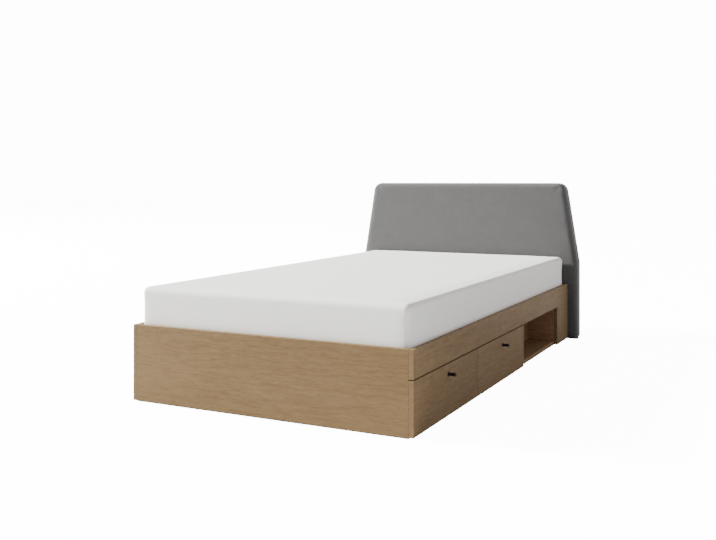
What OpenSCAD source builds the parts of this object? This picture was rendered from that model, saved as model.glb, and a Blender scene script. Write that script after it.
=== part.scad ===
// Single bed with two side drawers, an open niche and a padded headboard.
// Millimetres, +Z up. The foot is towards -Y, the headboard towards +Y and the drawers open along +X.
// The origin lies on the floor, below the middle of the whole bed.

/* [Mattress] */
// Width of the mattress
mattress_w = 1090; // [900:10:1400]
// Length of the mattress
mattress_l = 2000; // [1900:10:2100]
// Thickness of the mattress
mattress_h = 200; // [120:5:260]
// Radius of the mattress's long edges and corners
mattress_edge_r = 22; // [10:1:40]
// Radius of the mattress's four upright corners
mattress_corner_r = 22; // [12:1:60]
// Rise of the mattress's crown from its edge to its middle
mattress_crown = 5; // [1:0.5:10]
// Depth that the mattress's side draws in halfway up
mattress_waist = 2; // [0:0.5:5]
// Room between the mattress and each side board
mattress_side_gap = 4; // [1:0.5:6]
// Room between the mattress and the foot panel
mattress_foot_gap = 2; // [1:0.5:6]
// Room between the mattress and the headboard
mattress_head_gap = 10; // [4:1:20]

/* [Base] */
// Thickness of the boards
board_t = 18; // [16:1:22]
// Height of the base above the floor
base_h = 284; // [270:1:330]
// Chamfer along the edges of the boards that show
edge_ease = 0.8; // [0.3:0.1:1.5]
// Height of the upper rail on the drawer side
rail_h = 95; // [80:1:100]
// Depth of the mattress below the top of the base
mattress_recess = 56; // [45:1:60]
// Height of the floor glides
glide_h = 2; // [1:0.5:4]
// Diameter of the floor glides
glide_d = 16; // [12:1:18]

/* [Slats] */
// Number of slats
slat_n = 13; // [9:1:15]
// Width of a slat
slat_w = 90; // [60:1:100]
// Thickness of a slat
slat_t = 14; // [12:1:18]
// Room between the last slat and the end board
slat_end_gap = 12; // [5:1:30]
// Width of the ledgers under the slats' ends
ledger_w = 22; // [20:1:30]
// Height of the ledgers under the slats' ends
ledger_h = 22; // [18:1:24]

/* [Drawers] */
// Width of a drawer front
front_w = 612; // [520:1:640]
// Gap between the two drawer fronts
front_gap = 3; // [2:0.5:5]
// Height of the groove above the drawer fronts
groove_h = 4; // [3:0.5:8]
// Height of the drawer fronts above the floor
front_floor_gap = 4; // [3:1:10]
// Thickness of the drawer box's boards
box_t = 15; // [14:1:18]
// Room between the back of a drawer box and the centre spine
box_back_room = 40; // [30:1:80]
// Height from the front's lower edge to the drawer box
box_rise = 18; // [12:1:22]
// Height from the drawer box to the front's upper edge
box_drop = 13; // [10:1:20]
// Thickness of the drawer bottom
bottom_t = 6; // [4:1:8]
// Height of the drawer bottom above the box's lower edge
bottom_up = 10; // [8:1:14]
// Depth of the grooves that hold the drawer bottom
groove_d = 6; // [4:0.5:7]

/* [Slides] */
// Length of slide that stays in the bed when its drawer is open
slide_stay = 50; // [50:5:150]
// Height of the slide's outer member
slide_h = 45.6; // [44:0.2:50]
// Sheet thickness of the slide's members
steel_t = 1.2; // [1:0.1:1.3]
// Diameter of the slide's balls
ball_d = 3.3; // [3:0.1:3.4]
// Number of balls in one row
ball_n = 8; // [4:1:10]

/* [Niche] */
// Width of the fixed end panel between the niche and the headboard
end_panel_w = 213; // [150:1:260]
// Depth of the niche from the outer face of the base
niche_d = 150; // [120:5:260]
// Thickness of the niche's back panel
niche_back_t = 9; // [6:1:12]

/* [Headboard] */
// Height of the headboard's top above the floor
head_h = 808; // [700:1:1000]
// Thickness of the headboard
head_t = 75; // [65:1:90]
// Length that the headboard stands past the base on each side
head_overhang = 49; // [30:1:80]
// Width of the headboard's top edge, measured to its sharp corners
head_top_w = 1098; // [800:1:1120]
// Height at which the sides begin to lean inwards
head_kink_h = 392; // [300:1:450]
// Radius of the headboard's top corners
head_corner_r = 50; // [30:1:80]
// Radius of the padding along the headboard's front edges
pad_r = 20; // [12:1:24]
// Height of the headboard's lower edge above the floor
head_floor_gap = 3; // [3:1:20]
// Thickness of the padded cover along the headboard's edges
cover_side_t = 12; // [9:1:16]
// Thickness of the padded cover on the headboard's front
cover_front_t = 4; // [3:0.5:6]
// Thickness of the headboard's core board
core_t = 30; // [24:1:36]
// Width of the battens that carry the headboard
batten_w = 60; // [50:1:100]
// Distance of each batten from the middle of the bed
batten_x = 300; // [150:10:400]

/* [Fittings] */
// Length a knob stands out from its drawer front
knob_l = 27; // [18:1:35]
// Diameter of a knob
knob_d = 12; // [10:0.5:16]
// Distance from the front's upper edge down to the knob's middle
knob_drop = 36; // [25:1:60]
// Diameter of the wood dowels
dowel_d = 8; // [6:1:8]
// Length of the wood dowels
dowel_l = 30; // [26:1:34]
// Distance of the dowels from the upper and lower ends of a joint
dowel_in = 48; // [40:1:60]
// Distance of the floor glides from a board's ends
glide_in = 80; // [60:1:120]
// Length of a corner bracket's legs
bracket_a = 40; // [35:1:45]
// Diameter of the bolts that hold the headboard
bolt_d = 8; // [6:1:10]
// Distance of the bolts from the ends of a batten
bolt_in = 40; // [30:1:50]

/* [Hidden] */
$fn = 48;

// Clearances
fit = 0.05;
slip = 0.2;
soft_gap = 0.3;
bore_end = 1;
cross_n = 3;

// Outer sizes and the main planes
base_w = mattress_w + 2 * (mattress_side_gap + board_t);
base_l = board_t + mattress_foot_gap + mattress_l + mattress_head_gap;
foot_y = -(base_l + head_t) / 2;
head_y = foot_y + base_l;
right_x = base_w / 2;
left_x = -right_x;
bay_x = right_x - board_t;
lane_x = left_x + board_t;
inner_foot_y = foot_y + board_t;
inner_head_y = head_y - board_t;
spine_x = board_t / 2;

// Heights
rail_z = base_h - rail_h;
slat_top_z = base_h - mattress_recess;
slat_z = slat_top_z - slat_t;
ledger_z = slat_z - ledger_h;
front_z0 = front_floor_gap;
front_z1 = rail_z - groove_h;
box_z0 = front_z0 + box_rise;
box_z1 = front_z1 - box_drop;
slide_z = (box_z0 + box_z1) / 2;

// Places along the drawer side
front_pitch = front_w + front_gap;
middle_y = foot_y + front_w + (front_gap - board_t) / 2;
niche_wall_y = foot_y + 2 * front_w + front_gap - board_t;
niche_y0 = niche_wall_y + board_t;
niche_y1 = head_y - end_panel_w;
niche_back_x = right_x - niche_d;
cross_pitch = (inner_head_y - inner_foot_y) / (cross_n + 1);
slat_pitch = (inner_head_y - inner_foot_y - 2 * slat_end_gap - slat_w) / (slat_n - 1);

// Drawer bays: the clear space between the walls that carry the slides
function bay_y0(k) = k == 1 ? inner_foot_y : middle_y + board_t;
function bay_y1(k) = k == 1 ? middle_y : niche_wall_y;
function front_y0(k) = foot_y + (k - 1) * front_pitch;

// Slide section, measured from the wall of the bay towards the drawer
slide_w = 12.7;
slide_setback = 2;
cage_t = 0.6;
outer_w = 9.4;
lip_drop = 1.6;
race = ball_d + 2 * slip;
outer_arm = 5.4;
inner_arm = 4.6;
outer_in = slide_h / 2 - steel_t;
middle_n = steel_t + 3 * slip + cage_t + slip;
middle_w = 7.8;
middle_out = outer_in - race;
middle_in = middle_out - steel_t;
inner_n = middle_n + steel_t + 2 * slip + cage_t + 2 * slip;
inner_out = middle_in - race;
box_l = bay_x - spine_x - box_back_room;
slide_l = box_l;
travel = slide_l - slide_stay;
slide_x0 = bay_x - slide_setback - slide_l;
cage_share = 0.75;
cage_l = (slide_l - travel / 2) * cage_share;
cage_x0 = slide_x0 + (slide_l - cage_l) / 2;
box_gap = slide_w;
box_x0 = bay_x - box_l;
box_bottom_z = box_z0 + bottom_up;

// Screws
screw_d = 4;
screw_head_d = 8;
screw_head_h = 2.4;
screw_l = 14;
slat_screw_l = slat_t + 14;
ledger_screw_l = ledger_w + 12;
slide_screw_l = board_t / 2;
slide_screw_d = 3.6;
slide_screw_head_h = steel_t;
bracket_t = 2;
bracket_in = 48;
bracket_gap = 13;
bracket_h = (slat_z - glide_h - 2 * bracket_in - bracket_gap) / 2;
bracket_hole = 0.62;
slide_screw_in = 40;
drawer_screw_in = 60;
bracket_head_h = 1.8;

// Cam fittings of the drawer boxes
cam_d = 15;
cam_deep = 12;
cam_in = 34;
cam_edge = 32;
cam_pin_d = 6;
cam_thread_d = 5;
cam_thread_l = 11;

// Knob
knob_flange_d = knob_d + 4;
knob_flange_t = 2;
knob_screw_d = 4;
knob_screw_in = 12;
knob_head_d = 9;
knob_head_t = 2.2;

// Headboard layers, measured from the plane at the end of the base
pad_y = head_y + soft_gap;
cloth_t = 1;
core_y1 = head_y + head_t - 3;
core_y0 = core_y1 - core_t;
cover_back_y = head_y + head_t - cloth_t;
flap_w = 34;
head_half_w = base_w / 2 + head_overhang;
head_half_top = head_top_w / 2;
head_bottom_r = 10;
head_kink_r = 60;
batten_low = 28;
batten_drop = 6;
batten_z0 = glide_h + batten_low;
batten_z1 = slat_z - batten_drop;
bolt_zs = [batten_z0 + bolt_in, batten_z1 - bolt_in];
washer_t = 1.6;
washer_d = 2.2 * bolt_d;
bolt_head_d = 1.6 * bolt_d;
bolt_head_h = bolt_d;
nut_flange_d = 2.75 * bolt_d;
nut_flange_t = 1.5;
nut_barrel_d = bolt_d + 2.4;
nut_barrel_l = 12;

// Colours
oak = [0.66, 0.55, 0.42];
birch = [0.86, 0.78, 0.64];
pine = [0.87, 0.76, 0.56];
steel = [0.75, 0.76, 0.78];
black = [0.06, 0.06, 0.06];
grey_cloth = [0.50, 0.50, 0.49];
foam_yellow = [0.90, 0.86, 0.68];
mattress_white = [0.94, 0.94, 0.93];

// A block between two corners
module block(lo, hi) {
    translate(lo) cube(hi - lo);
}

// An outline of a w by h rectangle with chamfered corners
module eased_rect(w, h, e) {
    polygon([[e, 0], [w - e, 0], [w, e], [w, h - e], [w - e, h], [e, h], [0, h - e], [0, e]]);
}

// A board whose twelve edges are chamfered
module eased_board(lo, hi) {
    s = hi - lo;
    translate(lo) intersection() {
        linear_extrude(s.z) eased_rect(s.x, s.y, edge_ease);
        translate([0, s.y, 0]) rotate([90, 0, 0]) linear_extrude(s.y) eased_rect(s.x, s.z, edge_ease);
        rotate([90, 0, 90]) linear_extrude(s.x) eased_rect(s.y, s.z, edge_ease);
    }
}

// Turns what is drawn along +Z to point along a row axis
module aim(dir) {
    turn = dir.x > 0 ? [0, 90, 0] : dir.x < 0 ? [0, -90, 0] : dir.y > 0 ? [-90, 0, 0] : dir.y < 0 ? [90, 0, 0]
        : dir.z < 0 ? [180, 0, 0] : [0, 0, 0];
    rotate(turn) children();
}

// A countersunk screw with its head flush at the origin and its point along +Z
module sunk_screw(d, l, head_d, head_h) {
    rotate_extrude() polygon([[0, 0], [head_d / 2, 0], [d / 2, head_h], [d / 2, l - d], [0.3, l], [0, l]]);
}

// The hole that takes such a screw
module sunk_hole(d, l, head_d, head_h) {
    rotate_extrude() polygon([[0, -bore_end], [head_d / 2 + fit, -bore_end], [head_d / 2 + fit, fit],
        [d / 2 + fit, head_h + fit], [d / 2 + fit, l + bore_end], [0, l + bore_end]]);
}

// Dowel joints. A spot is the middle of a joint face, the way into the board whose face it is,
// and the depth there
face_in = board_t - 6;
spine_in = board_t / 2 - 1;
rail_dowel_in = 27;
cross_dowel_in = 78;
shelf_dowel_in = 25;
panel_dowel_zs = [glide_h + dowel_in, rail_z - dowel_in];
wall_dowel_zs = [glide_h + dowel_in, slat_z - dowel_in];
cross_dowel_zs = [glide_h + cross_dowel_in, slat_z - cross_dowel_in];
foot_rail_spots = [for (z = [rail_z + rail_dowel_in, base_h - rail_dowel_in])
    [[bay_x, foot_y + board_t / 2, z], [1, 0, 0], face_in]];
foot_left_spots = [for (z = [glide_h + dowel_in, base_h - dowel_in])
    [[lane_x, foot_y + board_t / 2, z], [-1, 0, 0], face_in]];
head_right_spots = [for (z = panel_dowel_zs) [[bay_x, head_y - board_t / 2, z], [1, 0, 0], face_in]];
head_left_spots = [for (z = panel_dowel_zs) [[lane_x, head_y - board_t / 2, z], [-1, 0, 0], face_in]];
end_panel_spots = [for (z = panel_dowel_zs) [[bay_x, niche_y1 + board_t / 2, z], [1, 0, 0], face_in]];
spine_foot_spots = [for (z = wall_dowel_zs) [[0, inner_foot_y, z], [0, -1, 0], face_in]];
spine_head_spots = [for (z = wall_dowel_zs) [[0, inner_head_y, z], [0, 1, 0], face_in]];
function partition_spots(y) = [for (z = wall_dowel_zs) [[spine_x, y + board_t / 2, z], [-1, 0, 0], spine_in]];
function cross_y(i) = inner_foot_y + i * cross_pitch - board_t / 2;
function cross_spine_spots(i) =
    [for (z = cross_dowel_zs) [[-spine_x, cross_y(i) + board_t / 2, z], [1, 0, 0], spine_in]];
function cross_left_spots(i) =
    [for (z = cross_dowel_zs) [[lane_x, cross_y(i) + board_t / 2, z], [-1, 0, 0], face_in]];
niche_dowel_xs = [bay_x - shelf_dowel_in, niche_back_x + shelf_dowel_in];
shelf_z = glide_h + board_t / 2;
lid_z = ledger_z + board_t / 2;
lid_dowel_xs = [bay_x - ledger_w - shelf_dowel_in, niche_back_x + shelf_dowel_in];
niche_wall_spots = concat([for (x = niche_dowel_xs) [[x, niche_y0, shelf_z], [0, -1, 0], face_in]],
    [for (x = lid_dowel_xs) [[x, niche_y0, lid_z], [0, -1, 0], face_in]]);
niche_head_spots = concat([for (x = niche_dowel_xs) [[x, niche_y1, shelf_z], [0, 1, 0], face_in]],
    [for (x = lid_dowel_xs) [[x, niche_y1, lid_z], [0, 1, 0], face_in]]);

module dowels_at(spots) {
    for (s = spots) translate(s[0] - s[1] * (dowel_l - s[2])) aim(s[1]) cylinder(d = dowel_d, h = dowel_l);
}

module dowel_bores(spots) {
    for (s = spots) translate(s[0] - s[1] * (dowel_l - s[2] + bore_end / 2)) aim(s[1])
        cylinder(d = dowel_d + 2 * fit, h = dowel_l + bore_end);
}

// Floor glides, one below each board's end
foot_glides = [for (x = [lane_x + glide_in, bay_x - glide_in]) [x, foot_y + board_t / 2]];
left_glides = [for (y = [foot_y + glide_in, (foot_y + head_y) / 2, head_y - glide_in])
    [left_x + board_t / 2, y]];
spine_glides = [for (y = [inner_foot_y + glide_in, inner_head_y - glide_in]) [0, y]];
head_glides = [for (x = [lane_x + glide_in, bay_x - glide_in]) [x, head_y - board_t / 2]];
end_panel_glides = [[right_x - board_t / 2, (niche_y1 + head_y) / 2]];
function partition_glides(y) = [for (x = [spine_x + glide_in, (niche_back_x + bay_x) / 2])
    [x, y + board_t / 2]];
glide_pin_d = 3;
glide_pin_l = 12;

module glides_at(places) {
    for (p = places) translate([p.x, p.y, 0]) {
        cylinder(d1 = glide_d - 2, d2 = glide_d, h = glide_h / 2);
        translate([0, 0, glide_h / 2]) cylinder(d = glide_d, h = glide_h / 2);
        cylinder(d = glide_pin_d, h = glide_h + glide_pin_l);
    }
}

module glide_bores(places) {
    for (p = places) translate([p.x, p.y, glide_h - bore_end])
        cylinder(d = glide_pin_d + 2 * fit, h = glide_pin_l + 2 * bore_end);
}

// Corner brackets: the corner's place, and which way its two legs run
bracket_zs = [glide_h + bracket_in, slat_z - bracket_in - bracket_h];
bracket_corners = [[[lane_x, inner_foot_y], [1, 1]], [[lane_x, inner_head_y], [1, -1]],
    [[bay_x, inner_head_y], [-1, -1]]];

// The two screws in one leg of a bracket
module bracket_leg_screws() {
    for (z = [bracket_h / 4, bracket_h * 3 / 4])
        translate([bracket_a * bracket_hole, bracket_t, z]) rotate([90, 0, 0])
        children();
}

module at_bracket_screws() {
    for (c = bracket_corners, z = bracket_zs) translate([c[0].x, c[0].y, z]) {
        mirror([c[1].x < 0 ? 1 : 0, 0, 0]) mirror([0, c[1].y < 0 ? 1 : 0, 0]) {
            bracket_leg_screws() children();
            mirror([1, -1, 0]) bracket_leg_screws() children();
        }
    }
}

module bracket_screw() {
    translate([0, 0, -bracket_head_h]) cylinder(d = screw_head_d, h = bracket_head_h);
    cylinder(d = screw_d, h = screw_l);
}

module bracket_screw_bore() {
    cylinder(d = screw_d + 2 * fit, h = screw_l + bore_end);
}

// Foot end: one board across the bed, between the ends of the two sides
module foot_panel() {
    color(oak) difference() {
        eased_board([lane_x, foot_y, glide_h], [bay_x, inner_foot_y, base_h]);
        dowel_bores(foot_rail_spots);
        dowel_bores(foot_left_spots);
        dowel_bores(spine_foot_spots);
        glide_bores(foot_glides);
        at_bracket_screws() bracket_screw_bore();
        slide_screw_bores(1);
    }
}

module left_side_panel() {
    color(oak) difference() {
        eased_board([left_x, foot_y, glide_h], [lane_x, head_y, base_h]);
        dowel_bores(foot_left_spots);
        dowel_bores(head_left_spots);
        for (i = [1:cross_n]) dowel_bores(cross_left_spots(i));
        glide_bores(left_glides);
        at_bracket_screws() bracket_screw_bore();
        mirror([1, 0, 0]) ledger_screw_bores();
    }
}

module right_upper_rail() {
    color(oak) difference() {
        eased_board([bay_x, foot_y, rail_z], [right_x, head_y, base_h]);
        dowel_bores(foot_rail_spots);
        ledger_screw_bores();
    }
}

module right_end_panel() {
    color(oak) difference() {
        eased_board([bay_x, niche_y1, glide_h], [right_x, head_y, rail_z]);
        dowel_bores(end_panel_spots);
        dowel_bores(head_right_spots);
        glide_bores(end_panel_glides);
        at_bracket_screws() bracket_screw_bore();
    }
}

module head_end_board() {
    color(oak) difference() {
        block([lane_x, inner_head_y, glide_h], [bay_x, head_y, slat_z]);
        dowel_bores(head_left_spots);
        dowel_bores(head_right_spots);
        dowel_bores(spine_head_spots);
        glide_bores(head_glides);
        at_bracket_screws() bracket_screw_bore();
        headboard_bolt_bores(0.5);
    }
}

module centre_spine() {
    color(birch) difference() {
        block([-spine_x, inner_foot_y, glide_h], [spine_x, inner_head_y, slat_z]);
        dowel_bores(spine_foot_spots);
        dowel_bores(spine_head_spots);
        for (y = [middle_y, niche_wall_y, niche_y1]) dowel_bores(partition_spots(y));
        for (i = [1:cross_n]) dowel_bores(cross_spine_spots(i));
        glide_bores(spine_glides);
    }
}

// A wall from the spine to the drawer side, notched for the ledger
module partition(y) {
    difference() {
        block([spine_x, y, glide_h], [bay_x, y + board_t, slat_z]);
        block([bay_x - ledger_w, y - bore_end, ledger_z],
            [bay_x + bore_end, y + board_t + bore_end, slat_z + bore_end]);
        dowel_bores(partition_spots(y));
        glide_bores(partition_glides(y));
    }
}

module middle_partition() {
    color(birch) difference() {
        partition(middle_y);
        slide_screw_bores(1);
        slide_screw_bores(2);
    }
}

module niche_partition() {
    color(oak) difference() {
        partition(niche_wall_y);
        slide_screw_bores(2);
        dowel_bores(niche_wall_spots);
        niche_back_groove(niche_y0);
    }
}

module head_partition() {
    color(oak) difference() {
        partition(niche_y1);
        niche_back_groove(niche_y1);
        dowel_bores(niche_head_spots);
        dowel_bores(end_panel_spots);
    }
}

// The niche: shelf on the floor side, back and lid
module niche_shelf() {
    color(oak) difference() {
        block([niche_back_x, niche_y0, glide_h], [bay_x, niche_y1, glide_h + board_t]);
        dowel_bores(niche_wall_spots);
        dowel_bores(niche_head_spots);
    }
}

module niche_back_panel() {
    color(oak) block([niche_back_x - niche_back_t, niche_y0 - groove_d + slip, glide_h],
        [niche_back_x, niche_y1 + groove_d - slip, slat_z]);
}

// The upright groove that holds one end of the niche's back panel
module niche_back_groove(y) {
    block([niche_back_x - niche_back_t - slip, y - groove_d, glide_h - bore_end],
        [niche_back_x, y + groove_d, slat_z + bore_end]);
}

module niche_top_panel() {
    color(oak) difference() {
        block([niche_back_x, niche_y0, ledger_z], [bay_x - ledger_w, niche_y1, ledger_z + board_t]);
        dowel_bores(niche_wall_spots);
        dowel_bores(niche_head_spots);
    }
}

// A wall from the spine to the plain side, notched for the left ledger
module left_cross_panel(i) {
    y = cross_y(i);
    color(birch) difference() {
        block([lane_x, y, glide_h], [-spine_x, y + board_t, slat_z]);
        block([lane_x - bore_end, y - bore_end, ledger_z],
            [lane_x + ledger_w, y + board_t + bore_end, slat_z + bore_end]);
        dowel_bores(cross_spine_spots(i));
        dowel_bores(cross_left_spots(i));
    }
}

// Ledgers under the slats' ends, and their screws into the sides
ledger_screw_n = 6;
ledger_screw_ys = [for (i = [0:ledger_screw_n - 1])
    slat_y(round(i * (slat_n - 2) / (ledger_screw_n - 1))) + (slat_w + slat_pitch) / 2];
ledger_screw_z = ledger_z + ledger_h / 2;

module at_ledger_screws() {
    for (y = ledger_screw_ys) translate([bay_x - ledger_w, y, ledger_screw_z]) aim([1, 0, 0]) children();
}

module ledger_screw_bores() {
    at_ledger_screws() sunk_hole(screw_d, ledger_screw_l, screw_head_d, screw_head_h);
}

module right_ledger() {
    color(pine) difference() {
        block([bay_x - ledger_w, inner_foot_y, ledger_z], [bay_x, inner_head_y, slat_z]);
        ledger_screw_bores();
        slat_screw_bores();
    }
}

module left_ledger() {
    color(pine) mirror([1, 0, 0]) difference() {
        block([bay_x - ledger_w, inner_foot_y, ledger_z], [bay_x, inner_head_y, slat_z]);
        ledger_screw_bores();
        slat_screw_bores();
    }
}

module ledger_screws() {
    color(steel) for (side = [0, 1]) mirror([side, 0, 0])
        at_ledger_screws() sunk_screw(screw_d, ledger_screw_l, screw_head_d, screw_head_h);
}

// Slats across the bed, screwed to the ledgers
slat_inset = 2;
function slat_y(i) = inner_foot_y + slat_end_gap + i * slat_pitch;

module at_slat_screws() {
    for (i = [0:slat_n - 1])
        translate([bay_x - ledger_w / 2 - slat_inset / 2, slat_y(i) + slat_w / 2, slat_top_z])
        aim([0, 0, -1]) children();
}

module slat_screw_bores() {
    at_slat_screws() sunk_hole(screw_d, slat_screw_l, screw_head_d, screw_head_h);
}

module bed_slats() {
    color(pine) difference() {
        for (i = [0:slat_n - 1]) translate([0, slat_y(i), 0])
            block([lane_x + slat_inset, 0, slat_z], [bay_x - slat_inset, slat_w, slat_top_z]);
        slat_screw_bores();
        mirror([1, 0, 0]) slat_screw_bores();
    }
}

module slat_screws() {
    color(steel) for (side = [0, 1]) mirror([side, 0, 0])
        at_slat_screws() sunk_screw(screw_d, slat_screw_l, screw_head_d, screw_head_h);
}

module dowels() {
    color(pine) {
        dowels_at(foot_rail_spots);
        dowels_at(foot_left_spots);
        dowels_at(head_right_spots);
        dowels_at(head_left_spots);
        dowels_at(end_panel_spots);
        dowels_at(spine_foot_spots);
        dowels_at(spine_head_spots);
        for (y = [middle_y, niche_wall_y, niche_y1]) dowels_at(partition_spots(y));
        for (i = [1:cross_n]) {
            dowels_at(cross_spine_spots(i));
            dowels_at(cross_left_spots(i));
        }
        dowels_at(niche_wall_spots);
        dowels_at(niche_head_spots);
    }
}

module corner_bracket() {
    difference() {
        linear_extrude(bracket_h)
            polygon([[0, 0], [bracket_a, 0], [bracket_a, bracket_t], [bracket_t, bracket_t],
                [bracket_t, bracket_a], [0, bracket_a]]);
        bracket_leg_screws() translate([0, 0, -bore_end])
            cylinder(d = screw_d + 2 * fit, h = bracket_t + 2 * bore_end);
        mirror([1, -1, 0]) bracket_leg_screws() translate([0, 0, -bore_end])
            cylinder(d = screw_d + 2 * fit, h = bracket_t + 2 * bore_end);
    }
}

module corner_brackets() {
    color(steel) for (c = bracket_corners, z = bracket_zs) translate([c[0].x, c[0].y, z])
        mirror([c[1].x < 0 ? 1 : 0, 0, 0]) mirror([0, c[1].y < 0 ? 1 : 0, 0]) corner_bracket();
}

module bracket_screws() {
    color(steel) at_bracket_screws() bracket_screw();
}

module floor_glides() {
    color(black) {
        glides_at(foot_glides);
        glides_at(left_glides);
        glides_at(spine_glides);
        glides_at(head_glides);
        glides_at(end_panel_glides);
        for (y = [middle_y, niche_wall_y, niche_y1]) glides_at(partition_glides(y));
    }
}

// Drawer slides. The section is drawn with X away from the wall and Y up, then run along the bed's X
slide_screw_xs = [slide_x0 + slide_screw_in, slide_x0 + slide_l / 2, slide_x0 + slide_l - slide_screw_in];

// Puts a section of length l, starting at x0, on the foot-side wall of bay k and mirrored on the other wall
module both_walls(k, x0, l) {
    translate([x0, bay_y0(k), slide_z]) rotate([90, 0, 90]) linear_extrude(l) children();
    translate([x0, bay_y1(k), slide_z]) mirror([0, 1, 0]) rotate([90, 0, 90]) linear_extrude(l) children();
}

// A channel with its web at n and its flanges running to n + w, outside half height out_z, with ball lips
module channel(n, w, out_z, lip) {
    translate([n, -out_z]) square([steel_t, 2 * out_z]);
    for (m = [0, 1]) mirror([0, m]) {
        translate([n, out_z - steel_t]) square([w, steel_t]);
        translate([n + w - steel_t, out_z - steel_t - lip]) square([steel_t, steel_t + lip]);
    }
}

module at_slide_screws(k) {
    for (x = slide_screw_xs) {
        translate([x, bay_y0(k) + steel_t, slide_z]) aim([0, -1, 0]) children();
        translate([x, bay_y1(k) - steel_t, slide_z]) aim([0, 1, 0]) children();
    }
}

module slide_screw_bores(k) {
    at_slide_screws(k) sunk_hole(slide_screw_d, slide_screw_l, screw_head_d - 1, slide_screw_head_h);
}

module slide_outers(k) {
    color(steel) difference() {
        both_walls(k, slide_x0, slide_l) channel(0, outer_w, slide_h / 2, lip_drop);
        slide_screw_bores(k);
    }
}

module slide_screws() {
    color(steel) for (k = [1, 2]) at_slide_screws(k)
        sunk_screw(slide_screw_d, slide_screw_l, screw_head_d - 1, slide_screw_head_h);
}

module slide_middles(k) {
    color(steel) both_walls(k, slide_x0, slide_l) channel(middle_n, middle_w, middle_out, lip_drop - slip);
}

// The inner member is a channel that opens towards the wall, its web against the drawer's side
module slide_inners(k) {
    color(steel) difference() {
        both_walls(k, slide_x0, slide_l) {
            translate([slide_w - steel_t, -inner_out]) square([steel_t, 2 * inner_out]);
            for (m = [0, 1]) mirror([0, m]) translate([inner_n, inner_out - steel_t])
                square([slide_w - inner_n, steel_t]);
        }
        drawer_screw_bores(k);
    }
}

// A strip that holds a row of balls above and one below, joined by a bridge beside the web
module ball_cages(k, bridge_n, arm_w, ball_z) {
    ball_pitch = cage_l / ball_n;
    color(steel) {
        both_walls(k, cage_x0, cage_l) {
            translate([bridge_n, -ball_z - cage_t / 2]) square([cage_t, 2 * ball_z + cage_t]);
            for (m = [0, 1]) mirror([0, m])
                translate([bridge_n, ball_z - cage_t / 2]) square([arm_w, cage_t]);
        }
        for (i = [0:ball_n - 1], m = [-1, 1]) {
            x = cage_x0 + (i + 0.5) * ball_pitch;
            ball_n_off = bridge_n + cage_t + slip + ball_d / 2;
            translate([x, bay_y0(k) + ball_n_off, slide_z + m * ball_z]) sphere(d = ball_d);
            translate([x, bay_y1(k) - ball_n_off, slide_z + m * ball_z]) sphere(d = ball_d);
        }
    }
}

module outer_ball_cages(k) {
    ball_cages(k, steel_t + 2 * slip, outer_arm, outer_in - race / 2);
}

module inner_ball_cages(k) {
    ball_cages(k, middle_n + steel_t + 2 * slip, inner_arm, middle_in - race / 2);
}

// Drawer box
function box_y0(k) = bay_y0(k) + box_gap;
function box_y1(k) = bay_y1(k) - box_gap;
function front_mid(k) = front_y0(k) + front_w / 2;
cam_zs = [box_z0 + cam_edge, box_z1 - cam_edge];
back_screw_in = 25;
back_screw_zs = [box_bottom_z + bottom_t + back_screw_in, box_z1 - back_screw_in];
back_screw_l = box_t + 19;
drawer_screw_l = 9;
drawer_screw_xs = [slide_x0 + drawer_screw_in, slide_x0 + slide_l - drawer_screw_in];

// Places one of its children on the foot side of drawer k and the same, mirrored, on the head side
module both_sides(k) {
    translate([0, box_y0(k), 0]) children();
    translate([0, box_y1(k), 0]) mirror([0, 1, 0]) children();
}

module drawer_screw_bores(k) {
    both_sides(k) for (x = drawer_screw_xs) translate([x, -steel_t, slide_z]) aim([0, 1, 0])
        sunk_hole(slide_screw_d, drawer_screw_l, screw_head_d - 1, slide_screw_head_h);
}

module knob_bore(k) {
    translate([bay_x - bore_end, front_mid(k), front_z1 - knob_drop]) aim([1, 0, 0])
        cylinder(d = knob_screw_d + 2 * fit, h = board_t + 2 * bore_end);
}

// Room for the cam pins in the back of a front board and in the end of a side board
module cam_pin_bores() {
    for (z = cam_zs) {
        translate([bay_x - cam_in, box_t / 2, z]) aim([1, 0, 0])
            cylinder(d = cam_pin_d + 2 * slip, h = cam_in);
        translate([bay_x - bore_end, box_t / 2, z]) aim([1, 0, 0])
            cylinder(d = cam_thread_d + 2 * fit, h = cam_thread_l + 2 * bore_end);
    }
}

module cam_pockets() {
    for (z = cam_zs) translate([bay_x - cam_in, box_t - cam_deep, z]) aim([0, 1, 0])
        cylinder(d = cam_d + 2 * fit, h = cam_deep + bore_end);
}

module drawer_front(k) {
    color(oak) difference() {
        eased_board([bay_x, front_y0(k), front_z0], [right_x, front_y0(k) + front_w, front_z1]);
        knob_bore(k);
        both_sides(k) cam_pin_bores();
        block([bay_x - bore_end, box_y0(k) + box_t - groove_d, box_bottom_z],
            [bay_x + groove_d, box_y1(k) - box_t + groove_d, box_bottom_z + bottom_t + slip]);
    }
}

// A side board of the drawer, drawn for the foot side
module drawer_side_board() {
    difference() {
        block([box_x0, 0, box_z0], [bay_x, box_t, box_z1]);
        block([box_x0 - bore_end, box_t - groove_d, box_bottom_z],
            [bay_x + bore_end, box_t + bore_end, box_bottom_z + bottom_t + slip]);
        cam_pin_bores();
        cam_pockets();
        for (z = back_screw_zs) translate([box_x0 + box_t / 2, 0, z]) aim([0, 1, 0])
            sunk_hole(screw_d, back_screw_l, screw_head_d, screw_head_h);
        for (x = drawer_screw_xs) translate([x, -steel_t, slide_z]) aim([0, 1, 0])
            sunk_hole(slide_screw_d, drawer_screw_l, screw_head_d - 1, slide_screw_head_h);
    }
}

module drawer_foot_side(k) {
    color(birch) translate([0, box_y0(k), 0]) drawer_side_board();
}

module drawer_head_side(k) {
    color(birch) translate([0, box_y1(k), 0]) mirror([0, 1, 0]) drawer_side_board();
}

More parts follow.
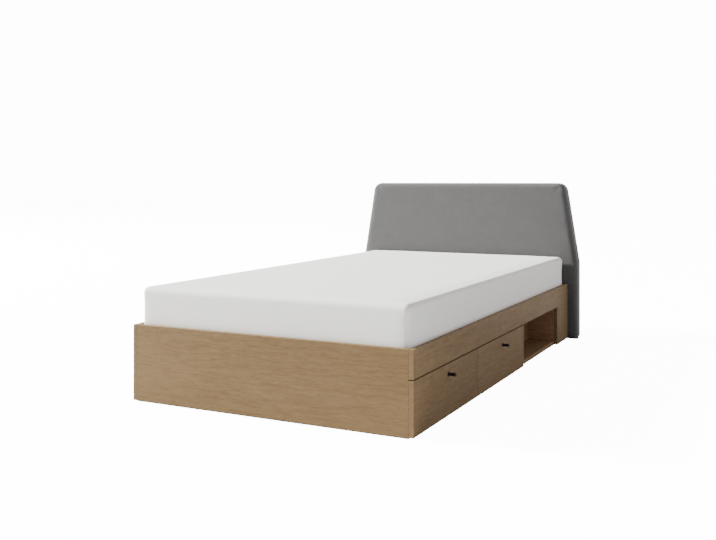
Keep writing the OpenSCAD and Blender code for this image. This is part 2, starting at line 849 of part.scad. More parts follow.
module drawer_back(k) {
    color(birch) difference() {
        block([box_x0, box_y0(k) + box_t, box_bottom_z + bottom_t],
            [box_x0 + box_t, box_y1(k) - box_t, box_z1]);
        both_sides(k) for (z = back_screw_zs) translate([box_x0 + box_t / 2, 0, z]) aim([0, 1, 0])
            sunk_hole(screw_d, back_screw_l, screw_head_d, screw_head_h);
    }
}

module drawer_bottom(k) {
    color(birch) block([box_x0, box_y0(k) + box_t - groove_d + slip, box_bottom_z],
        [bay_x + groove_d - slip, box_y1(k) - box_t + groove_d - slip, box_bottom_z + bottom_t]);
}

// A cam disc with its screwdriver cross and the mouth for the pin's head
module cam_disc() {
    difference() {
        cylinder(d = cam_d, h = cam_deep - slip);
        translate([0, 0, cam_deep - 2]) {
            translate([-4, -0.7, 0]) cube([8, 1.4, 3]);
            translate([-0.7, -4, 0]) cube([1.4, 8, 3]);
        }
        translate([0, 0, box_t / 2 - (box_t - cam_deep)]) rotate([0, 90, 0])
            cylinder(d = cam_pin_d + 2 * slip, h = cam_d);
    }
}

module cam_pin() {
    cylinder(d = cam_pin_d, h = cam_in - 2);
    translate([0, 0, cam_in - 2]) cylinder(d = cam_thread_d, h = cam_thread_l + 2);
}

module drawer_fittings(k) {
    color(steel) {
        both_sides(k) {
            for (z = cam_zs) {
                translate([bay_x - cam_in, box_t - cam_deep, z]) aim([0, 1, 0]) cam_disc();
                translate([bay_x - cam_in + slip, box_t / 2, z]) aim([1, 0, 0]) cam_pin();
            }
            for (z = back_screw_zs) translate([box_x0 + box_t / 2, 0, z]) aim([0, 1, 0])
                sunk_screw(screw_d, back_screw_l, screw_head_d, screw_head_h);
            for (x = drawer_screw_xs) translate([x, -steel_t, slide_z]) aim([0, 1, 0])
                sunk_screw(slide_screw_d, drawer_screw_l, screw_head_d - 1, slide_screw_head_h);
        }
        translate([bay_x - knob_head_t, front_mid(k), front_z1 - knob_drop]) aim([1, 0, 0]) {
            cylinder(d = knob_head_d, h = knob_head_t);
            cylinder(d = knob_screw_d, h = knob_head_t + board_t + knob_screw_in - bore_end);
        }
    }
}

// A turned knob with a flange, a slim neck and a flat end
module drawer_knob(k) {
    r = knob_d / 2;
    color(black) translate([right_x, front_mid(k), front_z1 - knob_drop]) aim([1, 0, 0]) difference() {
        rotate_extrude() polygon([[0, 0], [knob_flange_d / 2, 0], [knob_flange_d / 2, knob_flange_t - 0.5],
            [knob_flange_d / 2 - 0.5, knob_flange_t], [r - 1, knob_flange_t + 0.5], [r - 1, knob_l * 0.35],
            [r, knob_l * 0.45], [r, knob_l - 1], [r - 1, knob_l], [0, knob_l]]);
        translate([0, 0, -bore_end]) cylinder(d = knob_screw_d + 2 * fit, h = knob_screw_in + bore_end);
    }
}

// Rounded outlines of convex shapes, drawn in from their edges
function unit(v) = v / norm(v);
function left_of(v) = [-v.y, v.x];
function inset_point(a, b, c, s) = let (p = unit(b - a), q = unit(c - b))
    b + (left_of(p) + left_of(q)) / (1 + p * q) * s;
function inset_shape(pts, s) = let (n = len(pts))
    [for (i = [0:n - 1]) inset_point(pts[(i + n - 1) % n], pts[i], pts[(i + 1) % n], s)];
function corner_arc(a, b, c, r, steps) = let (p = unit(b - a), q = unit(c - b), turn = acos(p * q),
    centre = b - p * r * tan(turn / 2) + left_of(p) * r)
    [for (i = [0:steps]) let (t = turn * i / steps) centre + r * (p * sin(t) - left_of(p) * cos(t))];
function rounded_outline(pts, radii, s, steps) = let (n = len(pts), q = inset_shape(pts, s))
    [for (i = [0:n - 1])
        each corner_arc(q[(i + n - 1) % n], q[i], q[(i + 1) % n], max(radii[i] - s, 2), steps)];

// A closed skin through a stack of outlines with equal counts of points
module skin(rings) {
    n = len(rings[0]);
    last = len(rings) - 1;
    polyhedron(points = [for (ring = rings) each ring], faces = concat([[for (i = [0:n - 1]) i]],
        [for (j = [0:last - 1], i = [0:n - 1]) each let (a = j * n + i, b = j * n + (i + 1) % n)
            [[a, a + n, b], [b, a + n, b + n]]],
        [[for (i = [n - 1:-1:0]) last * n + i]]));
}

// Headboard
head_corners = [[-head_half_w, head_floor_gap], [head_half_w, head_floor_gap], [head_half_w, head_kink_h],
    [head_half_top, head_h], [-head_half_top, head_h], [-head_half_w, head_kink_h]];
head_radii = [head_bottom_r, head_bottom_r, head_kink_r, head_corner_r, head_corner_r, head_kink_r];
head_arc_steps = 8;
function head_outline(s) = rounded_outline(head_corners, head_radii, s, head_arc_steps);
function head_ring(s, y) = [for (p = head_outline(s)) [p.x, y, p.y]];

// Insets and depths of the padded edge: a quarter round, then a shallow crown that is deepest in the middle
pad_steps = 5;
pad_crown = 1.5;
back_ease = 3;
crown_run = 40;
pad_rings = concat(
    [head_ring(back_ease, cover_back_y), head_ring(0, cover_back_y - back_ease)],
    [for (i = [0:pad_steps]) let (t = 90 * i / pad_steps)
        head_ring(pad_r * (1 - cos(t)), pad_y + pad_crown + pad_r * (1 - sin(t)))],
    [for (i = [1:3]) head_ring(pad_r + crown_run * i / 3, pad_y + pad_crown * pow(1 - i / 3, 2))]);

// A flat layer of the headboard between two depths, drawn in by s
module head_layer(s, y0, y1) {
    translate([0, y1, 0]) rotate([90, 0, 0]) linear_extrude(y1 - y0) polygon(head_outline(s));
}

module batten_blocks(gap, y0, y1) {
    for (x = [-batten_x, batten_x]) block([x - batten_w / 2 - gap, y0, batten_z0 - gap],
        [x + batten_w / 2 + gap, y1, batten_z1 + gap]);
}

module at_bolts(y) {
    for (x = [-batten_x, batten_x], z = bolt_zs) translate([x, y, z]) aim([0, 1, 0]) children();
}

module headboard_bolt_bores(gap) {
    at_bolts(inner_head_y - bore_end) cylinder(d = bolt_d + 2 * gap, h = board_t + head_t + 2 * bore_end);
}

module headboard_cover() {
    color(grey_cloth) difference() {
        skin(pad_rings);
        head_layer(cover_side_t, pad_y + pad_crown + cover_front_t, core_y1);
        head_layer(cover_side_t + flap_w, core_y1, head_y + head_t);
        batten_blocks(1, head_y, core_y0);
    }
}

module headboard_foam() {
    color(foam_yellow) difference() {
        head_layer(cover_side_t + slip, pad_y + pad_crown + cover_front_t + slip, core_y0);
        batten_blocks(1, head_y, core_y1);
    }
}

module headboard_core() {
    color(pine) difference() {
        head_layer(cover_side_t + slip, core_y0, core_y1);
        headboard_bolt_bores(0.5);
        at_bolts(core_y1 - nut_barrel_l - fit)
            cylinder(d = nut_barrel_d + 2 * fit, h = nut_barrel_l + bore_end);
        at_bolts(core_y1 - nut_flange_t) cylinder(d = nut_flange_d + 2 * fit, h = nut_flange_t + bore_end);
    }
}

module headboard_back_cloth() {
    color(black) head_layer(cover_side_t + flap_w / 2, cover_back_y, cover_back_y + cloth_t);
}

module headboard_battens() {
    color(pine) difference() {
        batten_blocks(0, head_y, core_y0);
        headboard_bolt_bores(0.5);
    }
}

module headboard_bolts() {
    color(steel) at_bolts(inner_head_y - washer_t) {
        cylinder(d = washer_d, h = washer_t);
        cylinder(d = bolt_d, h = washer_t + core_y1 - inner_head_y - 2);
        translate([0, 0, -bolt_head_h]) difference() {
            cylinder(d = bolt_head_d, h = bolt_head_h);
            translate([0, 0, -bore_end])
                cylinder(d = bolt_d * 0.8, h = bolt_head_h * 0.5 + bore_end, $fn = 6);
        }
    }
}

module headboard_tee_nuts() {
    color(steel) difference() {
        union() {
            at_bolts(core_y1 - nut_barrel_l) cylinder(d = nut_barrel_d, h = nut_barrel_l);
            at_bolts(core_y1 - nut_flange_t) cylinder(d = nut_flange_d, h = nut_flange_t);
        }
        headboard_bolt_bores(fit);
    }
}

// Mattress: a crowned form whose long sides draw in a little halfway up
mattress_y0 = inner_foot_y + mattress_foot_gap;
mattress_corners = [[-mattress_w / 2, mattress_y0], [mattress_w / 2, mattress_y0],
    [mattress_w / 2, mattress_y0 + mattress_l], [-mattress_w / 2, mattress_y0 + mattress_l]];
mattress_arc_steps = 8;
edge_steps = 5;
side_steps = 4;
crown_rings = 4;
function mattress_ring(s, z) = [for (p = rounded_outline(mattress_corners,
    [for (i = [1:4]) mattress_corner_r], s, mattress_arc_steps)) [p.x, p.y, z]];
mattress_z0 = slat_top_z;
side_h = mattress_h - 2 * mattress_edge_r - mattress_crown;
mattress_rings = concat(
    [for (i = [0:edge_steps]) let (t = 90 * i / edge_steps)
        mattress_ring(mattress_edge_r * (1 - sin(t)), mattress_z0 + mattress_edge_r * (1 - cos(t)))],
    [for (i = [1:side_steps - 1]) let (u = i / side_steps)
        mattress_ring(mattress_waist * sin(180 * u), mattress_z0 + mattress_edge_r + side_h * u)],
    [for (i = [0:edge_steps]) let (t = 90 * i / edge_steps)
        mattress_ring(mattress_edge_r * (1 - cos(t)),
            mattress_z0 + mattress_edge_r + side_h + mattress_edge_r * sin(t))],
    [for (i = [1:crown_rings]) let (u = i / crown_rings)
        mattress_ring(mattress_edge_r + (mattress_w / 2 - 2 * mattress_edge_r) * u,
            mattress_z0 + mattress_h - mattress_crown * pow(1 - u, 2))]);

module mattress() {
    color(mattress_white) skin(mattress_rings);
}

foot_panel();
left_side_panel();
right_upper_rail();
right_end_panel();
head_end_board();
centre_spine();
middle_partition();
niche_partition();
head_partition();
niche_shelf();
niche_back_panel();
niche_top_panel();
left_cross_panel(1);  // left_cross_panel_1
left_cross_panel(2);  // left_cross_panel_2
left_cross_panel(3);  // left_cross_panel_3
right_ledger();
left_ledger();
ledger_screws();
bed_slats();
slat_screws();
dowels();
corner_brackets();
bracket_screws();
floor_glides();
slide_outers(1);  // drawer_1_slide_outers
slide_outers(2);  // drawer_2_slide_outers
slide_screws();
slide_middles(1);  // drawer_1_slide_middles
slide_middles(2);  // drawer_2_slide_middles
outer_ball_cages(1);  // drawer_1_outer_ball_cages
outer_ball_cages(2);  // drawer_2_outer_ball_cages
inner_ball_cages(1);  // drawer_1_inner_ball_cages
inner_ball_cages(2);  // drawer_2_inner_ball_cages
slide_inners(1);  // drawer_1_slide_inners
slide_inners(2);  // drawer_2_slide_inners
drawer_front(1);  // drawer_1_front
drawer_front(2);  // drawer_2_front
drawer_foot_side(1);  // drawer_1_foot_side
drawer_foot_side(2);  // drawer_2_foot_side
drawer_head_side(1);  // drawer_1_head_side
drawer_head_side(2);  // drawer_2_head_side
drawer_back(1);  // drawer_1_back
drawer_back(2);  // drawer_2_back
drawer_bottom(1);  // drawer_1_bottom
drawer_bottom(2);  // drawer_2_bottom
drawer_fittings(1);  // drawer_1_fittings
drawer_fittings(2);  // drawer_2_fittings
drawer_knob(1);  // drawer_1_knob
drawer_knob(2);  // drawer_2_knob
headboard_core();
headboard_foam();
headboard_cover();
headboard_back_cloth();
headboard_battens();
headboard_bolts();
headboard_tee_nuts();
mattress();
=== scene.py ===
"""Looks for a single storage bed: veneered base, padded headboard, mattress and studio."""

import functools
import math

import bmesh
import bpy
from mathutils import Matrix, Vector


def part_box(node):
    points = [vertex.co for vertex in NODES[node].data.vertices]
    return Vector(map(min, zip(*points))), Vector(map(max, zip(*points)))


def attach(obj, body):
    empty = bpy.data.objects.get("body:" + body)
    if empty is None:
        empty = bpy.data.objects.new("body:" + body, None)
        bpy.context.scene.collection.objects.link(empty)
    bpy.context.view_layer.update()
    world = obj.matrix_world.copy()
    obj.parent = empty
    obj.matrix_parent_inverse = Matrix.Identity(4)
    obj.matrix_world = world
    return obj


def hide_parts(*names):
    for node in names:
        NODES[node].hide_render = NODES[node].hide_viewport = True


bl_info = {
    "name": "Storage bed looks",
    "version": (1, 0, 0),
    "blender": (4, 5, 0),
    "location": "3D View > Sidebar > Bed",
    "description": "Finishes, padding and studio for a single storage bed",
    "category": "Object",
}

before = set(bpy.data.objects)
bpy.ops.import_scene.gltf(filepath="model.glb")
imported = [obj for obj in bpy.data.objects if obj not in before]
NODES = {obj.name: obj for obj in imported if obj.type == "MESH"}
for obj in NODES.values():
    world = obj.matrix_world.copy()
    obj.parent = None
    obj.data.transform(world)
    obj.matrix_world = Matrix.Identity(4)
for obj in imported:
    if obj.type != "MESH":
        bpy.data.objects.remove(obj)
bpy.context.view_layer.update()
MATTRESS_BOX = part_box("mattress")
COVER_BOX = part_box("headboard_cover")
SLATS_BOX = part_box("bed_slats")
CLOTH_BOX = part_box("headboard_back_cloth")
FOOT_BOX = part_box("foot_panel")

# Wooden nodes with the axis of their grain. A board's place in its row gives its seed.
OAK_BOARDS = {
    "foot_panel": "X", "left_side_panel": "Y", "right_upper_rail": "Y", "right_end_panel": "Y",
    "head_end_board": "X", "niche_partition": "X", "head_partition": "X", "niche_shelf": "Y",
    "niche_back_panel": "Y", "niche_top_panel": "Y", "drawer_1_front": "Y", "drawer_2_front": "Y",
}
BIRCH_BOARDS = {
    "centre_spine": "Y", "middle_partition": "X",
    "left_cross_panel_1": "X", "left_cross_panel_2": "X", "left_cross_panel_3": "X",
    "drawer_1_foot_side": "X", "drawer_1_head_side": "X", "drawer_2_foot_side": "X",
    "drawer_2_head_side": "X", "drawer_1_back": "Y", "drawer_2_back": "Y", "drawer_1_bottom": "X",
    "drawer_2_bottom": "X",
}
PINE_PARTS = {
    "right_ledger": "Y", "left_ledger": "Y", "headboard_core": "X", "headboard_battens": "Z", "dowels": "X",
}
# Pitch of the growth rings in metres, and strength of the figure, the pores and the varnish
WOODS = {
    "oak": dict(boards=OAK_BOARDS, first_seed=1, pitch=0.017, figure=0.82, pores=0.55, varnish=0.0),
    "birch": dict(boards=BIRCH_BOARDS, first_seed=21, pitch=0.024, figure=0.35, pores=0.2, varnish=0.1),
    "pine": dict(boards=PINE_PARTS, first_seed=41, pitch=0.011, figure=0.8, pores=0.15, varnish=0.0),
}
SLATS_SEED = 46
SEED_SHIFT = (3.7, 1.9, 0.53)
GRAIN_TURNS = {"X": (0.0, 0.0, 0.0), "Y": (0.0, 0.0, -math.pi / 2), "Z": (0.0, math.pi / 2, 0.0)}

# Oak boards painted lighter or darker than the rest to stand in for light and shade: painted light on the
# niche's partition and shelf, painted shade on the niche's back, and the foot and end panels tinted to the
# tones they show in the studio's light
BOARD_LIGHT_TINTS = {
    "head_partition": (1.70, 1.50, 1.68),
    "niche_back_panel": (0.80, 0.69, 0.62),
    "niche_shelf": (1.30, 1.20, 1.20),
    "foot_panel": (1.02, 1.01, 0.955),
    "right_end_panel": (0.90, 0.92, 0.90),
}
NO_LIGHT_TINT = (1.0, 1.0, 1.0)

# Boards whose edges are lighter, partly wear and partly a painted highlight along the edges: how much, how
# wide and to which tone. Pores darken the tone.
WORN_HIGHLIGHT_BOARDS = set(OAK_BOARDS) - {"right_upper_rail"}
WEAR_AND_HIGHLIGHT = 0.4
WEAR_AND_HIGHLIGHT_WIDTH = 0.0022
WORN_HIGHLIGHT_TONE = (1.28, 1.26, 1.22)
PORE_TONE = (0.52, 0.44, 0.38)

DRAWERS = ("drawer_1", "drawer_2")
STEEL_PARTS = ["ledger_screws", "slat_screws", "corner_brackets", "bracket_screws", "slide_screws",
               "headboard_bolts", "headboard_tee_nuts"]
STEEL_PARTS += [drawer + part for part in ("_slide_outers", "_slide_middles", "_outer_ball_cages",
                                           "_inner_ball_cages", "_slide_inners", "_fittings")
                for drawer in DRAWERS]
PLASTIC_LIGHT = (0.025, 0.025, 0.026)
PLASTIC_DARK = (0.018, 0.018, 0.018)


# Sizes, colours and studio values that a user may change

def number(name, text, value, **rules):
    return bpy.props.FloatProperty(name=name, description=text, default=value, **rules)


def length(name, text, value):
    return number(name, text, value, min=0.0, unit="LENGTH", precision=4)


def position(name, text, value):
    return bpy.props.FloatVectorProperty(name=name, description=text, default=value, size=3,
                                         subtype="TRANSLATION", unit="LENGTH")


def colour(name, text, value):
    return bpy.props.FloatVectorProperty(name=name, description=text, default=value, size=3,
                                         subtype="COLOR", min=0.0, max=1.0)


class BedSizes(bpy.types.PropertyGroup):
    edge_r: length("Edge radius", "Radius of the mattress's long edges", 0.022)
    corner_r: length("Corner radius", "Radius of the mattress's upright corners", 0.022)
    crown: length("Crown", "Rise of the mattress's top towards its middle", 0.005)
    waist: length("Waist", "Depth that the mattress's sides draw in", 0.002)
    seam_rise: length("Seam height", "Height of the seam above the mattress's rounded lower edge", 0.007)
    seam_depth: length("Seam depth", "Depth of the seam at the mattress's lower edge", 0.0016)
    seam_half: length("Seam width", "Half of the seam's width", 0.0035)
    stitch_pitch: length("Stitch pitch", "Distance between two stitches", 0.009)
    stitch_l: length("Stitch length", "Length of one stitch", 0.0055)
    stitch_t: length("Thread thickness", "Thickness of the thread", 0.0011)
    kink_h: length("Kink height", "Height where the headboard's sides begin to lean", 0.392)
    top_w: length("Top width", "Width of the headboard's top edge to its sharp corners", 1.098)
    top_r: length("Top corner radius", "Radius of the headboard's top corners", 0.050)
    bottom_r: length("Bottom corner radius", "Radius of the headboard's bottom corners", 0.010)
    kink_r: length("Kink radius", "Radius where the headboard's sides bend", 0.060)
    pad_r: length("Padding radius", "Radius of the headboard's padded front edge", 0.020)
    pad_crown: length("Padding crown", "Rise of the headboard's front towards its middle", 0.0015)
    flap_w: length("Flap width", "Width of cover folded onto the headboard's back", 0.046)
    staple_pitch: length("Staple pitch", "Distance between two staples on the headboard's back", 0.032)
    staple_l: length("Staple length", "Length of one staple", 0.010)
    staple_t: length("Staple thickness", "Thickness of a staple's wire", 0.0009)
    staple_inset: length("Staple inset", "Distance of the staples from the back cloth's edge", 0.008)
    slat_count: bpy.props.IntProperty(name="Slats", description="Number of slats", default=13, min=2)
    slat_w: length("Slat width", "Width of one slat", 0.090)
    slat_r: length("Slat edge radius", "Radius of a slat's edges", 0.003)


class BedColours(bpy.types.PropertyGroup):
    oak_light: colour("Oak, light", "Light tone of the oak veneer", (0.2156, 0.1408, 0.0665))
    oak_dark: colour("Oak, dark", "Dark tone of the oak veneer", (0.1477, 0.0924, 0.0395))
    birch_light: colour("Birch, light", "Light tone of the birch boards", (0.420, 0.325, 0.205))
    birch_dark: colour("Birch, dark", "Dark tone of the birch boards", (0.330, 0.240, 0.140))
    pine_light: colour("Pine, light", "Light tone of the pine", (0.430, 0.300, 0.150))
    pine_dark: colour("Pine, dark", "Dark tone of the pine", (0.330, 0.205, 0.090))
    # The dark tones of the weave and the ticking also serve as painted shade in the hollows between the
    # threads
    weave_light: colour("Weave, light", "Light threads of the headboard's cover", (0.0794, 0.0784, 0.0752))
    weave_dark: colour("Weave, dark", "Dark threads of the headboard's cover", (0.0486, 0.0482, 0.0462))
    ticking: colour("Ticking", "Mattress fabric", (0.885, 0.880, 0.797))
    ticking_dark: colour("Ticking, hollows", "Hollows of the mattress fabric", (0.795, 0.790, 0.717))
    steel: colour("Steel", "Zinc plated steel", (0.560, 0.565, 0.570))
    black: colour("Black", "Painted metal of the knobs", (0.008, 0.006, 0.005))
    felt: colour("Back cloth", "Cloth on the headboard's back", (0.030, 0.030, 0.031))


class StudioSettings(bpy.types.PropertyGroup):
    camera_place: position("Camera", "Place of the camera", (1.6712, -3.6345, 0.8162))
    camera_turn: number("Turn", "Turn of the level camera about the upright", math.radians(26.646),
                        subtype="ANGLE")
    lens: number("Lens", "Focal length in millimetres", 44.685, min=1.0)
    shift_x: number("Shift X", "Sideways shift of the picture", -0.00201)
    shift_y: number("Shift Y", "Upright shift of the picture", -0.12383)
    key: number("Key light", "Power of the low lamp on the left", 18000.0, min=0.0)
    key_place: position("Key place", "Place of the lamp on the left", (-16.1, -3.50, 9.7))
    key_size: length("Key size", "Width of the lamp on the left", 2.0)
    fill: number("Fill light", "Power of the low lamp on the right", 62.0, min=0.0)
    fill_place: position("Fill place", "Place of the lamp on the right", (6.6, 0.6, 1.25))
    fill_size: length("Fill size", "Width of the lamp on the right", 2.4)
    sky: number("Room light", "Strength of the light from all round", 0.61, min=0.0)
    sky_tint: colour("Room tint", "Colour of the light from all round", (0.936, 0.917, 1.0))
    backdrop: number("Backdrop", "Brightness of the backdrop that the camera sees", 15.0, min=0.0)
    floor: colour("Floor", "Colour of the floor", (0.65, 0.65, 0.65))
    floor_white: number("Floor white", "Brightness that the camera sees on the floor", 13.0, min=0.0)
    floor_half: length("Floor size", "Half of the floor's width", 30.0)


# Node trees

VECTOR = "NodeSocketVector"
COLOUR = "NodeSocketColor"
NUMBER = "NodeSocketFloat"
COUNT = "NodeSocketInt"
MATERIAL = "NodeSocketMaterial"
GEOMETRY = "NodeSocketGeometry"
FINISH = {"Color": COLOUR, "Roughness": NUMBER, "Height": NUMBER}


class Graph:
    """Short ways to add and join nodes in one tree."""

    def __init__(self, tree):
        self.tree = tree

    def put(self, socket, value):
        """Links the socket to another one, or sets its value."""
        if isinstance(value, bpy.types.NodeSocket):
            self.tree.links.new(value, socket)
        elif socket.type == "RGBA" and len(value) == 3:
            socket.default_value = (*value, 1.0)
        else:
            socket.default_value = value

    def add(self, kind, settings=None, **values):
        """Adds a node with its settings and with values for its inputs by name, and gives its outputs."""
        node = self.tree.nodes.new(kind)
        for key, value in (settings or {}).items():
            setattr(node, key, value)
        for label, value in values.items():
            self.put(node.inputs[label.replace("_", " ")], value)
        return node.outputs

    def math(self, operation, *values, clamp=False):
        node = self.tree.nodes.new("ShaderNodeMath")
        node.operation = operation
        node.use_clamp = clamp
        for socket, value in zip(node.inputs, values):
            self.put(socket, value)
        return node.outputs[0]

    def plus(self, first, *others, clamp=False):
        """The sum from left to right. Only the last step is clamped."""
        total = first
        for i, value in enumerate(others, 1):
            total = self.math("ADD", total, value, clamp=clamp and i == len(others))
        return total

    def minus(self, a, b):
        return self.math("SUBTRACT", a, b)

    def times(self, a, b):
        return self.math("MULTIPLY", a, b)

    def swing(self, value, gain):
        """Turns a value about one half into one about zero."""
        return self.times(self.minus(value, 0.5), gain)

    def vector(self, operation, a, b=None):
        node = self.tree.nodes.new("ShaderNodeVectorMath")
        node.operation = operation
        self.put(node.inputs[0], a)
        if b is not None:
            self.put(node.inputs["Scale" if operation == "SCALE" else 1], b)
        return node.outputs["Vector"]

    def noise(self, vector, scale, detail, rough):
        node = self.add("ShaderNodeTexNoise", Vector=vector, Scale=scale, Detail=detail, Roughness=rough)
        return node["Fac"]

    def drawn_noise(self, vector, along, across, detail, rough):
        """Noise with its own scale along X and another across it."""
        return self.noise(self.vector("MULTIPLY", vector, (along, across, across)), 1.0, detail, rough)

    def ramp(self, value, low, high):
        """A smooth step from 0 at low to 1 at high."""
        return self.add("ShaderNodeMapRange", {"interpolation_type": "SMOOTHSTEP"}, Value=value,
                        From_Min=low, From_Max=high)["Result"]

    def mix(self, factor, a, b, blend="MIX"):
        node = self.tree.nodes.new("ShaderNodeMix")
        node.data_type = "RGBA"
        node.blend_type = blend
        inputs = [socket for socket in node.inputs if socket.type == "RGBA"]
        self.put(node.inputs[0], factor)
        self.put(inputs[0], a)
        self.put(inputs[1], b)
        return next(socket for socket in node.outputs if socket.type == "RGBA")

    def split(self, vector):
        return self.add("ShaderNodeSeparateXYZ", Vector=vector)

    def join(self, x, y, z):
        return self.add("ShaderNodeCombineXYZ", X=x, Y=y, Z=z)["Vector"]

    def group(self, tree, **values):
        return self.add("ShaderNodeGroup", {"node_tree": tree}, **values)


def new_tree(name, kind, inputs, outputs):
    """A node group: its graph, what it is given, and the sockets for its result."""
    tree = bpy.data.node_groups.new(name, kind)
    for label, socket_type, value in inputs:
        socket = tree.interface.new_socket(name=label, in_out="INPUT", socket_type=socket_type)
        if value is not None:
            socket.default_value = value
    for label, socket_type in outputs.items():
        tree.interface.new_socket(name=label, in_out="OUTPUT", socket_type=socket_type)
    return Graph(tree), tree.nodes.new("NodeGroupInput").outputs, tree.nodes.new("NodeGroupOutput").inputs


# Shader groups

def finish_tree(name, **numbers):
    """A group that makes a finish from a place, a light and a dark tone, and its own numbers."""
    inputs = [("Vector", VECTOR, None), ("Light", COLOUR, (0.5, 0.5, 0.5, 1)),
              ("Dark", COLOUR, (0.3, 0.3, 0.3, 1))]
    inputs += [(label.replace("_", " "), NUMBER, value) for label, value in numbers.items()]
    return new_tree(name, "ShaderNodeTree", inputs, FINISH)


@functools.cache
def wood_figure_group():
    """Figure, streaks and pores of a sawn board. X runs along the grain, in metres."""
    g, given, result = finish_tree("wood_figure", Ring_Pitch=0.016, Figure=0.5, Pores=0.5)
    place = given["Vector"]

    # Growth rings, cut at a slant and bent by a slow and a quick sway
    sway = g.drawn_noise(place, 1.6, 7.0, 3.0, 0.6)
    drift = g.drawn_noise(place, 7.0, 36.0, 4.0, 0.7)
    _, y, z = g.split(place)
    across = g.plus(y, g.times(z, 0.83), g.swing(sway, 0.11), g.swing(drift, 0.030))
    phase = g.times(g.math("DIVIDE", across, given["Ring Pitch"]), 2 * math.pi)
    rings = g.math("POWER", g.math("MULTIPLY_ADD", g.math("SINE", phase), 0.5, 0.5), 1.6)

    # Patches, fine streaks and slow changes of tone along the board
    blotch = g.ramp(g.drawn_noise(place, 8.0, 55.0, 3.0, 0.6), 0.32, 0.68)
    streak = g.drawn_noise(place, 23.0, 210.0, 4.0, 0.75)
    tone = g.ramp(g.drawn_noise(place, 0.9, 2.6, 1.0, 0.5), 0.3, 0.7)
    shade = g.plus(g.swing(rings, 0.24), g.swing(blotch, 0.34), g.swing(g.ramp(streak, 0.32, 0.68), 0.62))
    shade = g.plus(g.times(shade, given["Figure"]), g.swing(tone, 0.45), 0.5, clamp=True)

    # Pores are short dark lines where the streaks are strong
    pore = g.ramp(g.drawn_noise(place, 42.0, 1500.0, 2.0, 0.65), 0.60, 0.72)
    pore = g.times(g.times(pore, g.ramp(streak, 0.42, 0.62)), given["Pores"])
    base = g.mix(shade, given["Light"], given["Dark"])
    g.put(result["Color"], g.mix(pore, base, g.mix(1.0, base, PORE_TONE, "MULTIPLY")))
    rough = g.math("MULTIPLY_ADD", streak, 0.16, 0.50)
    g.put(result["Roughness"], g.plus(rough, g.times(pore, 0.2), clamp=True))
    g.put(result["Height"], g.minus(g.times(streak, 0.25), pore))
    return g.tree


@functools.cache
def worn_highlight_edge_group():
    """Mask of a board's edges, from the board's middle and half of its sizes, broken up in patches. It
    places the lighter edges: wear and a painted highlight.
    """
    g, given, result = new_tree("worn_edge", "ShaderNodeTree", [
        ("Vector", VECTOR, None), ("Middle", VECTOR, (0, 0, 0)), ("Half", VECTOR, (1, 1, 1)),
        ("Width", NUMBER, 0.002)], {"Mask": NUMBER})
    off = g.vector("ABSOLUTE", g.vector("SUBTRACT", given["Vector"], given["Middle"]))
    x, y, z = g.split(g.vector("SUBTRACT", given["Half"], off))

    # The second smallest distance to a face is small only near an edge
    least = g.math("MINIMUM", g.math("MINIMUM", x, y), z)
    most = g.math("MAXIMUM", g.math("MAXIMUM", x, y), z)
    second = g.minus(g.minus(g.plus(x, y, z), least), most)
    patch = g.noise(given["Vector"], 38.0, 3.0, 0.6)
    width = g.times(given["Width"], g.math("MULTIPLY_ADD", patch, 1.6, 0.2))
    mask = g.minus(1.0, g.ramp(second, 0.0, width))
    g.put(result["Mask"], g.times(mask, g.ramp(patch, 0.3, 0.6)))
    return g.tree


@functools.cache
def plain_weave_group():
    """Over and under of a plain weave with uneven, two-tone threads. The vector is in metres."""
    g, given, result = finish_tree("plain_weave", Pitch=0.0016, Slub=0.5)
    place = given["Vector"]

    # Rounded ridges of warp and weft, which take turns on top
    wobble = g.swing(g.drawn_noise(place, 55.0, 55.0, 2.0, 0.5), 1.2)
    cells = g.split(g.vector("SCALE", place, g.math("DIVIDE", math.pi, given["Pitch"])))
    waves = [g.math("SINE", g.plus(cell, wobble)) for cell in (cells[0], cells[1])]
    over = g.ramp(g.times(*waves), -0.15, 0.15)
    under = g.minus(1.0, over)
    ridges = [g.math("POWER", g.math("ABSOLUTE", wave), 0.7) for wave in waves]
    ridge = g.plus(g.times(ridges[0], over), g.times(ridges[1], under))

    # Each thread changes its tone quickly across itself and slowly along itself
    u, v, _ = g.split(place)
    warp = g.noise(g.join(g.times(u, 620.0), g.times(v, 16.0), 0.0), 1.0, 2.0, 0.6)
    weft = g.noise(g.join(g.times(u, 16.0), g.times(v, 620.0), 7.0), 1.0, 2.0, 0.6)
    thread = g.plus(g.times(warp, over), g.times(weft, under))
    cloud = g.noise(place, 9.0, 3.0, 0.55)
    slub = g.times(g.ramp(thread, 0.34, 0.66), given["Slub"])
    # Painted shade: the tone darkens towards the dark colour where the ridges dip between the threads
    tone = g.plus(slub, g.times(g.minus(1.0, ridge), 0.45), g.swing(cloud, 0.30), clamp=True)
    g.put(result["Color"], g.mix(tone, given["Light"], given["Dark"]))
    g.put(result["Roughness"], g.math("MULTIPLY_ADD", thread, 0.12, 0.82))
    g.put(result["Height"], g.plus(ridge, g.times(thread, 0.35)))
    return g.tree


